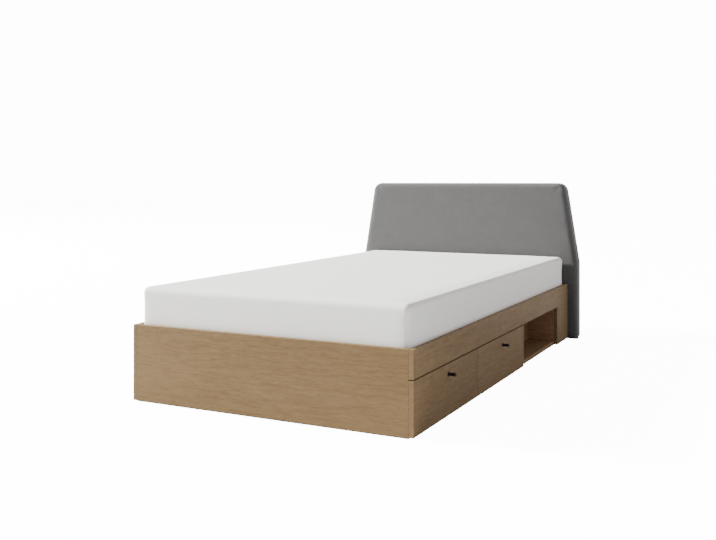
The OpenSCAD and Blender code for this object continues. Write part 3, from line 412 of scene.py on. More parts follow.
@functools.cache
def fine_grit_group():
    """Fine unevenness of a coated or plated surface."""
    g, given, result = finish_tree("fine_grit", Grit=2500.0, Low=0.3, High=0.5)
    place = given["Vector"]
    grit = g.noise(place, given["Grit"], 2.0, 0.6)
    cloud = g.noise(place, 24.0, 3.0, 0.6)
    rub = g.drawn_noise(place, 900.0, 60.0, 2.0, 0.6)
    tone = g.ramp(g.plus(g.times(grit, 0.45), g.times(cloud, 0.55)), 0.3, 0.7)
    g.put(result["Color"], g.mix(tone, given["Light"], given["Dark"]))
    spread = g.ramp(g.plus(g.times(cloud, 0.5), g.times(rub, 0.5)), 0.3, 0.7)
    span = g.minus(given["High"], given["Low"])
    g.put(result["Roughness"], g.plus(given["Low"], g.times(spread, span)))
    g.put(result["Height"], g.plus(grit, g.times(rub, 0.4)))
    return g.tree


# Materials

def darker(tone, share):
    return [value * share for value in tone]


def blank_material(name, shown):
    mat = bpy.data.materials.new(name)
    mat.use_nodes = True
    mat.diffuse_color = (*shown, 1.0)
    return mat, Graph(mat.node_tree), mat.node_tree.nodes["Principled BSDF"]


def own_place(g, source="Object"):
    """The piece's own coordinates, in metres."""
    return g.add("ShaderNodeTexCoord")[source]


def join_finish(g, bsdf, finish, tone, strength, bump, **values):
    """Joins a finish to the material's shader, and sets the values that are even all over."""
    g.put(bsdf.inputs["Base Color"], tone)
    g.put(bsdf.inputs["Roughness"], finish["Roughness"])
    normal = g.add("ShaderNodeBump", Strength=strength, Distance=bump, Height=finish["Height"])["Normal"]
    g.put(bsdf.inputs["Normal"], normal)
    for label, value in values.items():
        bsdf.inputs[label.replace("_", " ")].default_value = value


def wood_material(name, kind, node, axis, seed):
    """Veneer or sawn wood for one board, its grain along one axis."""
    wood, tones = WOODS[kind], bpy.context.scene.bed_colours
    # Painted light and shade: some boards' tones are scaled to how lit they look
    tint = BOARD_LIGHT_TINTS.get(node, NO_LIGHT_TINT)
    light = [a * b for a, b in zip(getattr(tones, kind + "_light"), tint)]
    dark = [a * b for a, b in zip(getattr(tones, kind + "_dark"), tint)]
    mat, g, bsdf = blank_material(name, light)
    place = own_place(g)
    along = g.add("ShaderNodeMapping", Vector=place, Rotation=GRAIN_TURNS[axis],
                  Location=[seed * step for step in SEED_SHIFT])["Vector"]
    finish = g.group(wood_figure_group(), Vector=along, Light=light, Dark=dark, Ring_Pitch=wood["pitch"],
                     Figure=wood["figure"], Pores=wood["pores"])
    tone = finish["Color"]
    # Painted highlight and wear: the board's edges are lightened towards the worn tone
    if node in WORN_HIGHLIGHT_BOARDS:
        lo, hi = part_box(node)
        middle = [(a + b) / 2 for a, b in zip(lo, hi)]
        half = [(b - a) / 2 for a, b in zip(lo, hi)]
        mask = g.group(worn_highlight_edge_group(), Vector=place, Middle=middle, Half=half, Width=WEAR_AND_HIGHLIGHT_WIDTH)["Mask"]
        tone = g.mix(g.times(mask, WEAR_AND_HIGHLIGHT), tone, g.mix(1.0, tone, WORN_HIGHLIGHT_TONE, "MULTIPLY"))
    join_finish(g, bsdf, finish, tone, strength=0.35, bump=0.00025, Specular_IOR_Level=0.18,
                Coat_Weight=wood["varnish"], Coat_Roughness=0.45)
    return mat


def grit_material(name, light, dark, grit, low, high, metallic, bump, gloss=0.5):
    """Plated, painted or moulded surface. Its roughness runs from low to high."""
    mat, g, bsdf = blank_material(name, light)
    finish = g.group(fine_grit_group(), Vector=own_place(g), Light=light, Dark=dark, Grit=grit, Low=low,
                     High=high)
    join_finish(g, bsdf, finish, finish["Color"], strength=0.3, bump=bump, Metallic=metallic,
                Specular_IOR_Level=gloss)
    return mat


def cloth_material(name, light, dark, pitch, slub, sheen, bump):
    """Woven cloth that follows the piece's own UV map, in metres."""
    mat, g, bsdf = blank_material(name, light)
    finish = g.group(plain_weave_group(), Vector=own_place(g, "UV"), Light=light, Dark=dark, Pitch=pitch,
                     Slub=slub)
    join_finish(g, bsdf, finish, finish["Color"], strength=0.5, bump=bump, Specular_IOR_Level=0.2,
                Sheen_Weight=sheen, Sheen_Roughness=0.5)
    return mat


def set_material(obj, mat):
    if obj.material_slots:
        for slot in obj.material_slots:
            slot.material = mat
    else:
        obj.data.materials.append(mat)


# Outlines and padded forms

CORNER_STEPS = 8
KINK_STEPS = 2
QUARTER = math.pi / 2
MERGE = 1e-6
STILL = 1e-9
SHARP = math.radians(40)


def left_of(direction):
    return Vector((-direction.y, direction.x))


def corner_points(prev, here, after, radius, steps):
    """Points of the arc that rounds a corner, or copies of the corner where there is no radius."""
    p, q = (here - prev).normalized(), (after - here).normalized()
    left = left_of(p)
    turn = math.acos(max(-1.0, min(1.0, p.dot(q))))
    centre = here - p * radius * math.tan(turn / 2) + left * radius
    return [centre + radius * (p * math.sin(turn * i / steps) - left * math.cos(turn * i / steps))
            for i in range(steps + 1)]


class Outline:
    """An anticlockwise shape with rounded corners, and the steps on each arc and along each side."""

    def __init__(self, corners, radii, steps, counts):
        self.corners = [Vector(c) for c in corners]
        self.radii = radii
        self.steps = steps
        self.counts = counts

    def inset_corners(self, s):
        """Its sharp corners when every side moves in by s."""
        result = []
        for i, (here, after) in enumerate(zip(self.corners, self.corners[1:] + self.corners[:1])):
            p, q = (here - self.corners[i - 1]).normalized(), (after - here).normalized()
            result.append(here + (left_of(p) + left_of(q)) / (1 + p.dot(q)) * s)
        return result

    def ring(self, s):
        """Its points when it is drawn in by s."""
        corners = self.inset_corners(s)
        arcs = []
        for i, (here, after) in enumerate(zip(corners, corners[1:] + corners[:1])):
            radius = max(self.radii[i] - s, 0.0)
            arcs.append(corner_points(corners[i - 1], here, after, radius, self.steps[i]))
        points = []
        for arc, after, count in zip(arcs, arcs[1:] + arcs[:1], self.counts):
            points += arc
            points += [arc[-1].lerp(after[0], j / count) for j in range(1, count)]
        return points

    def chains(self, first, sides):
        """Vertex numbers from one corner to another for each of the sides. The ring starts at first."""
        arcs = []
        at = first
        for steps, count in zip(self.steps, self.counts):
            arcs.append((at, at + steps))
            at += steps + count
        total = at - first
        chains = []
        for a, b in sides:
            begin, end = arcs[a][1], arcs[b][0]
            if end < begin:
                end += total
            chains.append([first + (i - first) % total for i in range(begin, end + 1)])
        return chains


def fill_grid(bottom, right, top, left):
    """Points between four chains of points: rows from bottom to top, each from left to right."""
    cols, rows = len(bottom) - 1, len(right) - 1
    grid = []
    for j in range(rows + 1):
        v = j / rows
        row = []
        for i in range(cols + 1):
            u = i / cols
            edge = (1 - v) * bottom[i] + v * top[i] + (1 - u) * left[j] + u * right[j]
            low = (1 - u) * (1 - v) * bottom[0] + u * (1 - v) * bottom[-1]
            row.append(edge - (low + (1 - u) * v * top[0] + u * v * top[-1]))
        grid.append(row)
    return grid


def new_object(name, data):
    obj = bpy.data.objects.new(name, data)
    bpy.context.collection.objects.link(obj)
    return obj


def bmesh_object(name, bm):
    """A new object from a bmesh, its faces turned outwards."""
    bmesh.ops.recalc_face_normals(bm, faces=bm.faces)
    mesh = bpy.data.meshes.new(name)
    bm.to_mesh(mesh)
    bm.free()
    return new_object(name, mesh)


def shade_smooth(mesh):
    mesh.polygons.foreach_set("use_smooth", [True] * len(mesh.polygons))


class PadMesh:
    """A padded form: rings of points up its side and over its edge, closed by even grids.

    A ring is a pair of its points and its depth, and place(point, depth) puts a point in the room.
    """

    def __init__(self, place):
        self.place = place
        self.verts = []
        self.faces = []
        self.uvs = []

    def add_rings(self, rings, flat_from):
        """Joins the rings. From ring flat_from on, the cloth's pattern lies flat."""
        self.rings = rings
        first = rings[0][0]
        n = len(first)
        for points, depth in rings:
            self.verts += [self.place(p, depth) for p in points]
        run = [0.0]
        for i in range(n):
            run.append(run[-1] + (first[(i + 1) % n] - first[i]).length)
        rise = 0.0
        for j in range(len(rings) - 1):
            (a, low), (b, high) = rings[j], rings[j + 1]
            step = math.hypot((b[0] - a[0]).length, high - low)
            for i in range(n):
                k = (i + 1) % n
                self.faces.append((j * n + i, j * n + k, (j + 1) * n + k, (j + 1) * n + i))
                if j >= flat_from:
                    self.uvs.append((a[i][:], a[k][:], b[k][:], b[i][:]))
                else:
                    self.uvs.append(((run[i], rise), (run[i + 1], rise), (run[i + 1], rise + step),
                                     (run[i], rise + step)))
            rise += step

    def add_cap(self, outline, sides, number, lift=None, flip=False):
        """Fills the ring of that number with a grid, which lift(u, v) may raise from the ring's depth.

        sides: the corners where the grid's bottom, right, top and left begin and end.
        """
        points, depth = self.rings[number]
        first = number * len(points)
        chains = outline.chains(first, sides)
        bottom, right, top, left = [[points[i - first] for i in chain] for chain in chains]
        grid = fill_grid(bottom, right, top[::-1], left[::-1])
        rows, cols = len(grid) - 1, len(grid[0]) - 1
        index = rim_vertices(chains, cols, rows)
        for j in range(rows + 1):
            for i in range(cols + 1):
                if (i, j) not in index:
                    index[(i, j)] = len(self.verts)
                    rise = lift(i / cols, j / rows) if lift else 0.0
                    self.verts.append(self.place(grid[j][i], depth + rise))
        for j in range(rows):
            for i in range(cols):
                face = [(i, j), (i + 1, j), (i + 1, j + 1), (i, j + 1)]
                if flip:
                    face.reverse()
                self.faces.append(tuple(index[cell] for cell in face))
                self.uvs.append(tuple(grid[row][col][:] for col, row in face))

    def build(self, name):
        mesh = bpy.data.meshes.new(name)
        mesh.from_pydata(self.verts, [], self.faces)
        layer = mesh.uv_layers.new(name="cloth")
        layer.data.foreach_set("uv", [c for face in self.uvs for uv in face for c in uv])
        bm = bmesh.new()
        bm.from_mesh(mesh)
        bmesh.ops.remove_doubles(bm, verts=bm.verts, dist=MERGE)
        bmesh.ops.recalc_face_normals(bm, faces=bm.faces)
        bm.to_mesh(mesh)
        bm.free()
        shade_smooth(mesh)
        return new_object(name, mesh)


def rim_vertices(chains, cols, rows):
    """Vertex numbers of a ring's four chains round a grid, by (column, row)."""
    bottom, right, top, left = chains
    index = {(i, 0): vertex for i, vertex in enumerate(bottom)}
    index.update({(cols, j): vertex for j, vertex in enumerate(right)})
    index.update({(cols - i, rows): vertex for i, vertex in enumerate(top)})
    index.update({(0, rows - j): vertex for j, vertex in enumerate(left)})
    return index


SETTLE_FRAMES = 16


def settle_cloth(obj, holds, pressure, cap, stretch):
    """Swells the piece as cloth under pressure and keeps each point's move, up to cap.

    holds(point) is from 0 to 1: how firmly an edge or a fastening keeps the point where it starts.
    """
    mesh = obj.data
    pins = obj.vertex_groups.new(name="held")
    for vert in mesh.vertices:
        pins.add([vert.index], holds(vert.co), "REPLACE")
    start = [v.co.copy() for v in mesh.vertices]
    cloth = obj.modifiers.new("cloth", "CLOTH")
    rules = cloth.settings
    rules.quality = 6
    rules.mass = 0.25
    rules.use_pressure = True
    rules.uniform_pressure_force = pressure
    rules.tension_stiffness = rules.compression_stiffness = 25.0
    rules.shear_stiffness = 12.0
    rules.bending_stiffness = 2.0
    rules.shrink_min = -stretch
    rules.vertex_group_mass = "held"
    rules.effector_weights.gravity = 0.0
    cloth.point_cache.frame_start = 1
    cloth.point_cache.frame_end = SETTLE_FRAMES
    scene = bpy.context.scene
    for step in range(1, SETTLE_FRAMES + 1):
        scene.frame_set(step)
    settled = obj.evaluated_get(bpy.context.evaluated_depsgraph_get())
    moved = [v.co.copy() for v in settled.to_mesh().vertices]
    settled.to_mesh_clear()
    obj.modifiers.remove(cloth)
    obj.vertex_groups.remove(pins)
    scene.frame_set(1)
    for vert, a, b in zip(mesh.vertices, start, moved):
        step = (b - a) * (1.0 - holds(a))
        far = step.length
        vert.co = a + step * (cap * math.tanh(far / cap) / far) if far > STILL else a


def keep_within(obj, lo, hi):
    """Holds each point of a soft piece inside its solid's box."""
    for vert in obj.data.vertices:
        vert.co = [min(max(c, a), b) for c, a, b in zip(vert.co, lo, hi)]


# Geometry Nodes

def row_tree(name, inputs):
    """A tree that makes a row of like pieces, in a given material."""
    inputs = [("Geometry", GEOMETRY, None), *inputs, ("Material", MATERIAL, None)]
    return new_tree(name, "GeometryNodeTree", inputs, {"Geometry": GEOMETRY})


def end_row(g, given, result, piece, **values):
    """Puts the piece on every point and makes the instances real."""
    row = g.add("GeometryNodeInstanceOnPoints", Instance=piece, **values)["Instances"]
    real = g.add("GeometryNodeRealizeInstances", Geometry=row)["Geometry"]
    made = g.add("GeometryNodeSetMaterial", Geometry=real, Material=given["Material"])["Geometry"]
    g.put(result["Geometry"], made)
    return g.tree


# Least and greatest size of a rod in its row
ROD_SCALES = (0.9, 1.05)


@functools.cache
def thread_row_tree():
    """Short rods in a row along the loop: stitches of thread, or wire staples."""
    g, given, result = row_tree("thread_row", [
        ("Pitch", NUMBER, 0.009), ("Rod Length", NUMBER, 0.0055), ("Rod Thickness", NUMBER, 0.0011),
        ("Seed", COUNT, 3)])
    curve = g.add("GeometryNodeMeshToCurve", Mesh=given["Geometry"])["Curve"]
    points = g.add("GeometryNodeCurveToPoints", {"mode": "LENGTH"}, Curve=curve, Length=given["Pitch"])
    ball = g.add("GeometryNodeMeshUVSphere", Segments=8, Rings=5, Radius=0.5)["Mesh"]
    size = g.join(given["Rod Thickness"], given["Rod Thickness"], given["Rod Length"])
    rod = g.add("GeometryNodeTransform", Geometry=ball, Scale=size)["Geometry"]

    # Each rod is a little shorter or longer than the next
    draw = g.tree.nodes.new("FunctionNodeRandomValue")
    draw.data_type = "FLOAT"
    g.put(draw.inputs["Seed"], given["Seed"])
    limits = [socket for socket in draw.inputs if socket.type == "VALUE"]
    for socket, value in zip(limits, ROD_SCALES):
        g.put(socket, value)
    drawn = next(socket for socket in draw.outputs if socket.type == "VALUE")
    return end_row(g, given, result, rod, Points=points["Points"], Rotation=points["Rotation"], Scale=drawn)


def slat_row_tree():
    """A row of slats with rounded edges."""
    g, given, result = row_tree("slat_row", [
        ("Count", COUNT, 13), ("Pitch", NUMBER, 0.15), ("First", VECTOR, (0, 0, 0)),
        ("Length", NUMBER, 1.1), ("Width", NUMBER, 0.09), ("Thickness", NUMBER, 0.014),
        ("Edge Radius", NUMBER, 0.003)])
    flat = g.add("GeometryNodeCurvePrimitiveQuadrilateral", Width=given["Width"], Height=given["Thickness"])
    soft = g.add("GeometryNodeFilletCurve", {"mode": "POLY"}, Curve=flat["Curve"], Count=4,
                 Radius=given["Edge Radius"])
    half = g.times(given["Length"], 0.5)
    line = g.add("GeometryNodeCurvePrimitiveLine", Start=g.join(g.times(half, -1.0), 0.0, 0.0),
                 End=g.join(half, 0.0, 0.0))
    body = g.add("GeometryNodeCurveToMesh", Curve=line["Curve"], Profile_Curve=soft["Curve"],
                 Fill_Caps=True)
    places = g.add("GeometryNodeMeshLine", Count=given["Count"], Start_Location=given["First"],
                   Offset=g.join(0.0, given["Pitch"], 0.0))
    return end_row(g, given, result, body["Mesh"], Points=places["Mesh"])


def path_object(name, points):
    """A closed loop of edges that a tree turns into a curve."""
    mesh = bpy.data.meshes.new(name)
    count = len(points)
    mesh.from_pydata(points, [(i, (i + 1) % count) for i in range(count)], [])
    return new_object(name, mesh)


def run_tree(obj, tree, values, name):
    """Takes obj's place with the tree's result as a plain mesh, under a new name."""
    mod = obj.modifiers.new("make", "NODES")
    mod.node_group = tree
    for item in tree.interface.items_tree:
        if item.item_type == "SOCKET" and item.in_out == "INPUT" and item.name in values:
            mod[item.identifier] = values[item.name]
    graph = bpy.context.evaluated_depsgraph_get()
    mesh = bpy.data.meshes.new_from_object(obj.evaluated_get(graph))
    mesh.name = name
    bpy.data.objects.remove(obj)
    return new_object(name, mesh)


def rod_row(name, points, pitch, rod_l, rod_t, seed, mat):
    """Rods in a row along a closed loop of points."""
    loop = path_object(name + "_loop", points)
    return run_tree(loop, thread_row_tree(), {"Pitch": pitch, "Rod Length": rod_l, "Rod Thickness": rod_t,
                                              "Seed": seed, "Material": mat}, name)


# Operators

class BED_OT_wood(bpy.types.Operator):
    """Veneer and wood on the boards of the base and the drawers"""
    bl_idname = "bed.wood"
    bl_label = "Wood"

    def execute(self, context):
        for kind, wood in WOODS.items():
            for seed, (node, axis) in enumerate(wood["boards"].items(), wood["first_seed"]):
                set_material(NODES[node], wood_material(f"{kind}_{node}", kind, node, axis, seed))
        return {"FINISHED"}


class BED_OT_metal(bpy.types.Operator):
    """Plated steel on the slides, brackets and screws, and plastic on the glides"""
    bl_idname = "bed.metal"
    bl_label = "Metal and glides"

    def execute(self, context):
        tones = context.scene.bed_colours
        steel = grit_material("zinc_steel", tones.steel, darker(tones.steel, 0.8), grit=1800.0, low=0.28,
                              high=0.46, metallic=1.0, bump=0.00006)
        for name in STEEL_PARTS:
            set_material(NODES[name], steel)
        plastic = grit_material("black_plastic", PLASTIC_LIGHT, PLASTIC_DARK, grit=3000.0, low=0.45,
                                high=0.6, metallic=0.0, bump=0.00008)
        set_material(NODES["floor_glides"], plastic)
        return {"FINISHED"}


class BED_OT_knobs(bpy.types.Operator):
    """Turned black knobs on the drawer fronts"""
    bl_idname = "bed.knobs"
    bl_label = "Knobs"

    def execute(self, context):
        tones = context.scene.bed_colours
        paint = grit_material("black_paint", tones.black, darker(tones.black, 0.7), grit=2600.0, low=0.46,
                              high=0.62, metallic=0.0, bump=0.00007, gloss=0.2)
        for drawer in DRAWERS:
            lo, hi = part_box(drawer + "_knob")
            y, z = (lo[1] + hi[1]) / 2, (lo[2] + hi[2]) / 2
            profile = knob_profile((hi[2] - lo[2]) / 2, hi[0] - lo[0])
            knob = turned_piece(drawer + "_turned_knob", profile, Vector((lo[0], y, z)))
            knob.data.materials.append(paint)
            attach(knob, drawer)
            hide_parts(drawer + "_knob")
        return {"FINISHED"}


# Radius of a knob's head as a share of its foot's
KNOB_HEAD = 0.75


def knob_profile(foot_r, height):
    """(radius, height) pairs: a thin foot, a drawn-in neck, and a straight head with a sunk face."""
    r = foot_r * KNOB_HEAD
    foot = [(0.0, 0.0), (foot_r, 0.0), (foot_r, 0.0012), (foot_r - 0.0003, 0.0017),
            (foot_r - 0.0009, 0.0020)]
    neck = [(r + 0.0004, 0.0022), (r - 0.0006, 0.0027), (r - 0.0010, 0.0036), (r - 0.0010, height * 0.33),
            (r - 0.0007, height * 0.37), (r - 0.0002, height * 0.42)]
    head = [(r, height * 0.47), (r, height - 0.0014), (r - 0.0002, height - 0.0008),
            (r - 0.0006, height - 0.0003), (r - 0.0012, height)]
    face = [(r - 0.0030, height), (r - 0.0034, height - 0.0003), (0.0, height - 0.0003)]
    return foot + neck + head + face


def turned_piece(name, profile, base, steps=48):
    """A turned piece along +X, from (radius, height) pairs."""
    bm = bmesh.new()
    rings = []
    for radius, height in profile:
        turns = [2 * math.pi * i / steps for i in range(steps)] if radius else [0.0]
        rings.append([bm.verts.new(base + Vector((height, radius * math.cos(a), radius * math.sin(a))))
                      for a in turns])
    for a, b in zip(rings, rings[1:]):
        for i in range(steps):
            k = (i + 1) % steps
            if len(a) == 1:
                bm.faces.new((a[0], b[i], b[k]))
            elif len(b) == 1:
                bm.faces.new((a[i], b[0], a[k]))
            else:
                bm.faces.new((a[i], b[i], b[k], a[k]))
    obj = bmesh_object(name, bm)
    shade_smooth(obj.data)
    obj.data.set_sharp_from_angle(angle=SHARP)
    return obj


class BED_OT_slats(bpy.types.Operator):
    """Pine slats with rounded edges under the mattress"""
    bl_idname = "bed.slats"
    bl_label = "Slats"

    def execute(self, context):
        sizes = context.scene.bed_sizes
        lo, hi = SLATS_BOX
        pine = wood_material("pine_slats", "pine", "bed_slats", "X", SLATS_SEED)
        holder = path_object("slat_row", [(0, 0, 0), (0, 0.1, 0), (0, 0.2, 0)])
        pitch = (hi[1] - lo[1] - sizes.slat_w) / (sizes.slat_count - 1)
        first = ((lo[0] + hi[0]) / 2, lo[1] + sizes.slat_w / 2, (lo[2] + hi[2]) / 2)
        slats = run_tree(holder, slat_row_tree(), {
            "Count": sizes.slat_count, "Length": hi[0] - lo[0], "Width": sizes.slat_w,
            "Thickness": hi[2] - lo[2], "Edge Radius": sizes.slat_r, "First": first, "Pitch": pitch,
            "Material": pine}, "pine_slat_row")
        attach(slats, "bed_frame")
        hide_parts("bed_slats")
        return {"FINISHED"}


# Pitch of the mattress's grid, and steps round its edges and up its sides
MATTRESS_PITCH = 0.016
EDGE_STEPS = 6
SIDE_STEPS = 9
# The seam's section: shares of its half width and of its depth
SEAM_SECTION = ((-1, 0.05), (-0.35, 0.75), (0, 1), (0.35, 0.75), (1, 0.05))
# Height of the underside that rests on the slats, and width of the rim that the sewn edge holds
RESTING_H = 0.004
HELD_RIM = 0.07
# Points of the stitches' loop across and along the mattress, and how far the thread lies off the seam
STITCH_WIDE = 40
STITCH_LONG = 80
STITCH_SUNK = 0.2


def mattress_outline(sizes, counts):
    lo, hi = MATTRESS_BOX
    corners = [(lo[0], lo[1]), (hi[0], lo[1]), (hi[0], hi[1]), (lo[0], hi[1])]
    return Outline(corners, [sizes.corner_r] * 4, [CORNER_STEPS] * 4, counts)


def seam_height(sizes):
    return MATTRESS_BOX[0][2] + sizes.edge_r + sizes.seam_rise


def mattress_rings(sizes, outline):
    """Rings of the mattress from its bottom over its side to its top, and the first that lies flat."""
    low, top = MATTRESS_BOX[0][2], MATTRESS_BOX[1][2] - sizes.crown
    r, seam_z = sizes.edge_r, seam_height(sizes)
    turns = [QUARTER * i / EDGE_STEPS for i in range(EDGE_STEPS + 1)]
    section = [(sizes.corner_r, low)]
    section += [(r * (1 - math.sin(t)), low + r * (1 - math.cos(t))) for t in turns]
    section += [(sizes.seam_depth * s, seam_z + sizes.seam_half * dz) for dz, s in SEAM_SECTION]
    base = seam_z + sizes.seam_half
    for u in (i / SIDE_STEPS for i in range(1, SIDE_STEPS)):
        section.append((sizes.waist * math.sin(math.pi * u), base + (top - r - base) * u))
    flat_from = len(section)
    section += [(r * (1 - math.cos(t)), top - r + r * math.sin(t)) for t in turns]
    section.append((sizes.corner_r, top))
    return [(outline.ring(s), z) for s, z in section], flat_from


def crown(u, v):
    """From 0 at the rim to 1 over most of the middle."""
    return (1 - (2 * u - 1) ** 6) * (1 - (2 * v - 1) ** 10)


class BED_OT_mattress(bpy.types.Operator):
    """Filled mattress with a crowned top, a sewn edge and knitted ticking"""
    bl_idname = "bed.mattress"
    bl_label = "Mattress"

    def execute(self, context):
        sizes, tones = context.scene.bed_sizes, context.scene.bed_colours
        lo, hi = MATTRESS_BOX
        counts = [round((hi[0] - lo[0]) / MATTRESS_PITCH), round((hi[1] - lo[1]) / MATTRESS_PITCH)] * 2
        outline = mattress_outline(sizes, counts)
        rings, flat_from = mattress_rings(sizes, outline)
        sides = [(0, 1), (1, 2), (2, 3), (3, 0)]
        pad = PadMesh(lambda p, z: (p.x, p.y, z))
        pad.add_rings(rings, flat_from)
        pad.add_cap(outline, sides, len(rings) - 1, lift=lambda u, v: sizes.crown * crown(u, v))
        pad.add_cap(outline, sides, 0, flip=True)
        mattress = pad.build("filled_mattress")

        def holds(p):
            if p.z < lo[2] + RESTING_H:
                return 1.0
            to_edge = sorted(max(0.0, min(c - a, b - c)) for c, a, b in zip(p, lo, hi))[1]
            return (1.0 - min(1.0, to_edge / HELD_RIM)) ** 2

        settle_cloth(mattress, holds, pressure=0.6, cap=0.0035, stretch=0.002)
        keep_within(mattress, lo, hi)
        ticking = cloth_material("mattress_ticking", tones.ticking, tones.ticking_dark, pitch=0.0021,
                                 slub=0.25, sheen=0.15, bump=0.00035)
        mattress.data.materials.append(ticking)
        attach(mattress, "bed_frame")
        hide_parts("mattress")
        return {"FINISHED"}


class BED_OT_mattress_stitches(bpy.types.Operator):
    """Row of stitches along the seam at the mattress's lower edge"""
    bl_idname = "bed.mattress_stitches"
    bl_label = "Mattress stitches"

    def execute(self, context):
        sizes, tones = context.scene.bed_sizes, context.scene.bed_colours
        outline = mattress_outline(sizes, [STITCH_WIDE, STITCH_LONG] * 2)
        ring = outline.ring(sizes.seam_depth - sizes.stitch_t * STITCH_SUNK)
        thread = grit_material("white_thread", tones.ticking, tones.ticking_dark, grit=1500.0, low=0.7,
                               high=0.85, metallic=0.0, bump=0.0001)
        seam_z = seam_height(sizes)
        row = rod_row("mattress_stitches", [(p.x, p.y, seam_z) for p in ring], pitch=sizes.stitch_pitch,
                      rod_l=sizes.stitch_l, rod_t=sizes.stitch_t, seed=3, mat=thread)
        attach(row, "bed_frame")
        return {"FINISHED"}


# Pitch of the headboard's grid, and steps up its side and round its front edge
HEADBOARD_PITCH = 0.014
PAD_SIDE_STEPS = 4
PAD_EDGE_STEPS = 8
# The flap's thickness, its glued width, and the rounding where the cover turns to the back
FLAP_T = 0.0018
FLAP_GLUED = 0.015
BACK_ROUND = 0.010
# Width over which the front rises to its crown
CROWN_RIM = 0.06
# Depth at the back that staples hold, and how deep a staple's middle lies in the back cloth
HELD_BACK = 0.012
STAPLE_SUNK = 0.0005
# Points on each side of the back cloth, and the least radius that drawing it in leaves
BACK_COUNTS = [40, 14, 14, 40, 14, 14]
BACK_LEAST_R = 0.002


def headboard_outline(sizes, counts, least_r=0.0):
    """The headboard seen from the foot end, with radii of at least least_r."""
    lo, hi = COVER_BOX
    half, lean = hi[0], sizes.top_w / 2
    corners = [(-half, lo[2]), (half, lo[2]), (half, sizes.kink_h), (lean, hi[2]), (-lean, hi[2]),
               (-half, sizes.kink_h)]
    radii = [sizes.bottom_r, sizes.bottom_r, sizes.kink_r, sizes.top_r, sizes.top_r, sizes.kink_r]
    steps = [CORNER_STEPS, CORNER_STEPS, KINK_STEPS, CORNER_STEPS, CORNER_STEPS, KINK_STEPS]
    return Outline(corners, [max(r, least_r) for r in radii], steps, counts)


def headboard_rings(sizes, outline):
    """Rings of the cover from the fold on its back to the front's grid, and the first that lies flat."""
    front, back = COVER_BOX[0][1], COVER_BOX[1][1]
    r, swell = sizes.pad_r, sizes.pad_crown
    section = [(sizes.flap_w, back - FLAP_T), (sizes.flap_w, back), (sizes.flap_w - FLAP_GLUED, back),
               (BACK_ROUND, back), (0.0045, back - 0.0006), (0.0014, back - 0.0024), (0.0003, back - 0.005),
               (0.0, back - BACK_ROUND)]
    depth = back - BACK_ROUND - (front + swell + r)
    section += [(0.0, back - BACK_ROUND - depth * i / PAD_SIDE_STEPS) for i in range(1, PAD_SIDE_STEPS)]
    flat_from = len(section) + PAD_EDGE_STEPS - 1
    turns = [QUARTER * i / PAD_EDGE_STEPS for i in range(PAD_EDGE_STEPS + 1)]
    section += [(r * (1 - math.cos(t)), front + swell + r * (1 - math.sin(t))) for t in turns]
    section += [(s, front + swell * (1 - (s - r) / (CROWN_RIM - r)) ** 2)
                for s in (0.026, 0.036, 0.048, CROWN_RIM)]
    return [(outline.ring(s), y) for s, y in section], flat_from


class BED_OT_headboard(bpy.types.Operator):
    """Padded headboard in grey woven cloth"""
    bl_idname = "bed.headboard"
    bl_label = "Headboard"

    def execute(self, context):
        sizes, tones = context.scene.bed_sizes, context.scene.bed_colours
        lo, hi = COVER_BOX
        wide, up, lean_up = [round(side / HEADBOARD_PITCH)
                             for side in (sizes.top_w, sizes.kink_h - lo[2], hi[2] - sizes.kink_h)]
        outline = headboard_outline(sizes, [wide, up, lean_up, wide, lean_up, up])
        rings, flat_from = headboard_rings(sizes, outline)
        pad = PadMesh(lambda p, y: (p.x, y, p.y))
        pad.add_rings(rings, flat_from)
        pad.add_cap(outline, [(0, 1), (1, 3), (3, 4), (4, 0)], len(rings) - 1)
        cover = pad.build("padded_headboard")

        def holds(p):
            return 1.0 if p.y > hi[1] - HELD_BACK else 0.0

        settle_cloth(cover, holds, pressure=0.5, cap=0.0012, stretch=0.001)
        keep_within(cover, lo, hi)
        weave = cloth_material("grey_weave", tones.weave_light, tones.weave_dark, pitch=0.0017, slub=0.40,
                               sheen=0.42, bump=0.0003)
        cover.data.materials.append(weave)
        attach(cover, "bed_frame")
        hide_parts("headboard_cover")
        return {"FINISHED"}


class BED_OT_headboard_back(bpy.types.Operator):
    """Thin black cloth over the headboard's back, held by wire staples"""
    bl_idname = "bed.headboard_back"
    bl_label = "Headboard back"

    def execute(self, context):
        sizes, tones = context.scene.bed_sizes, context.scene.bed_colours
        lo, hi = CLOTH_BOX
        inset = COVER_BOX[1][0] - hi[0]
        felt = cloth_material("black_felt", tones.felt, darker(tones.felt, 0.6), pitch=0.0012, slub=0.5,
                              sheen=0.1, bump=0.0002)
        cloth, area = stretched_cloth("black_back_cloth", back_ring(sizes, inset), lo[1], hi[1])
        cloth.data.materials.append(felt)
        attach(cloth, "bed_frame")
        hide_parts("headboard_back_cloth")
        wire = grit_material("staple_wire", tones.steel, darker(tones.steel, 0.8), grit=1800.0, low=0.3,
                             high=0.4, metallic=1.0, bump=0.00005)
        ring = back_ring(sizes, inset + sizes.staple_inset)
        row = rod_row("back_staples", [(p.x, hi[1] - STAPLE_SUNK, p.y) for p in ring],
                      pitch=sizes.staple_pitch, rod_l=sizes.staple_l, rod_t=sizes.staple_t, seed=5, mat=wire)
        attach(row, "bed_frame")
        return {"FINISHED"}


def back_ring(sizes, inset):
    """The headboard's outline drawn in by inset, its corners still a little rounded."""
    return headboard_outline(sizes, BACK_COUNTS, least_r=inset + BACK_LEAST_R).ring(inset)


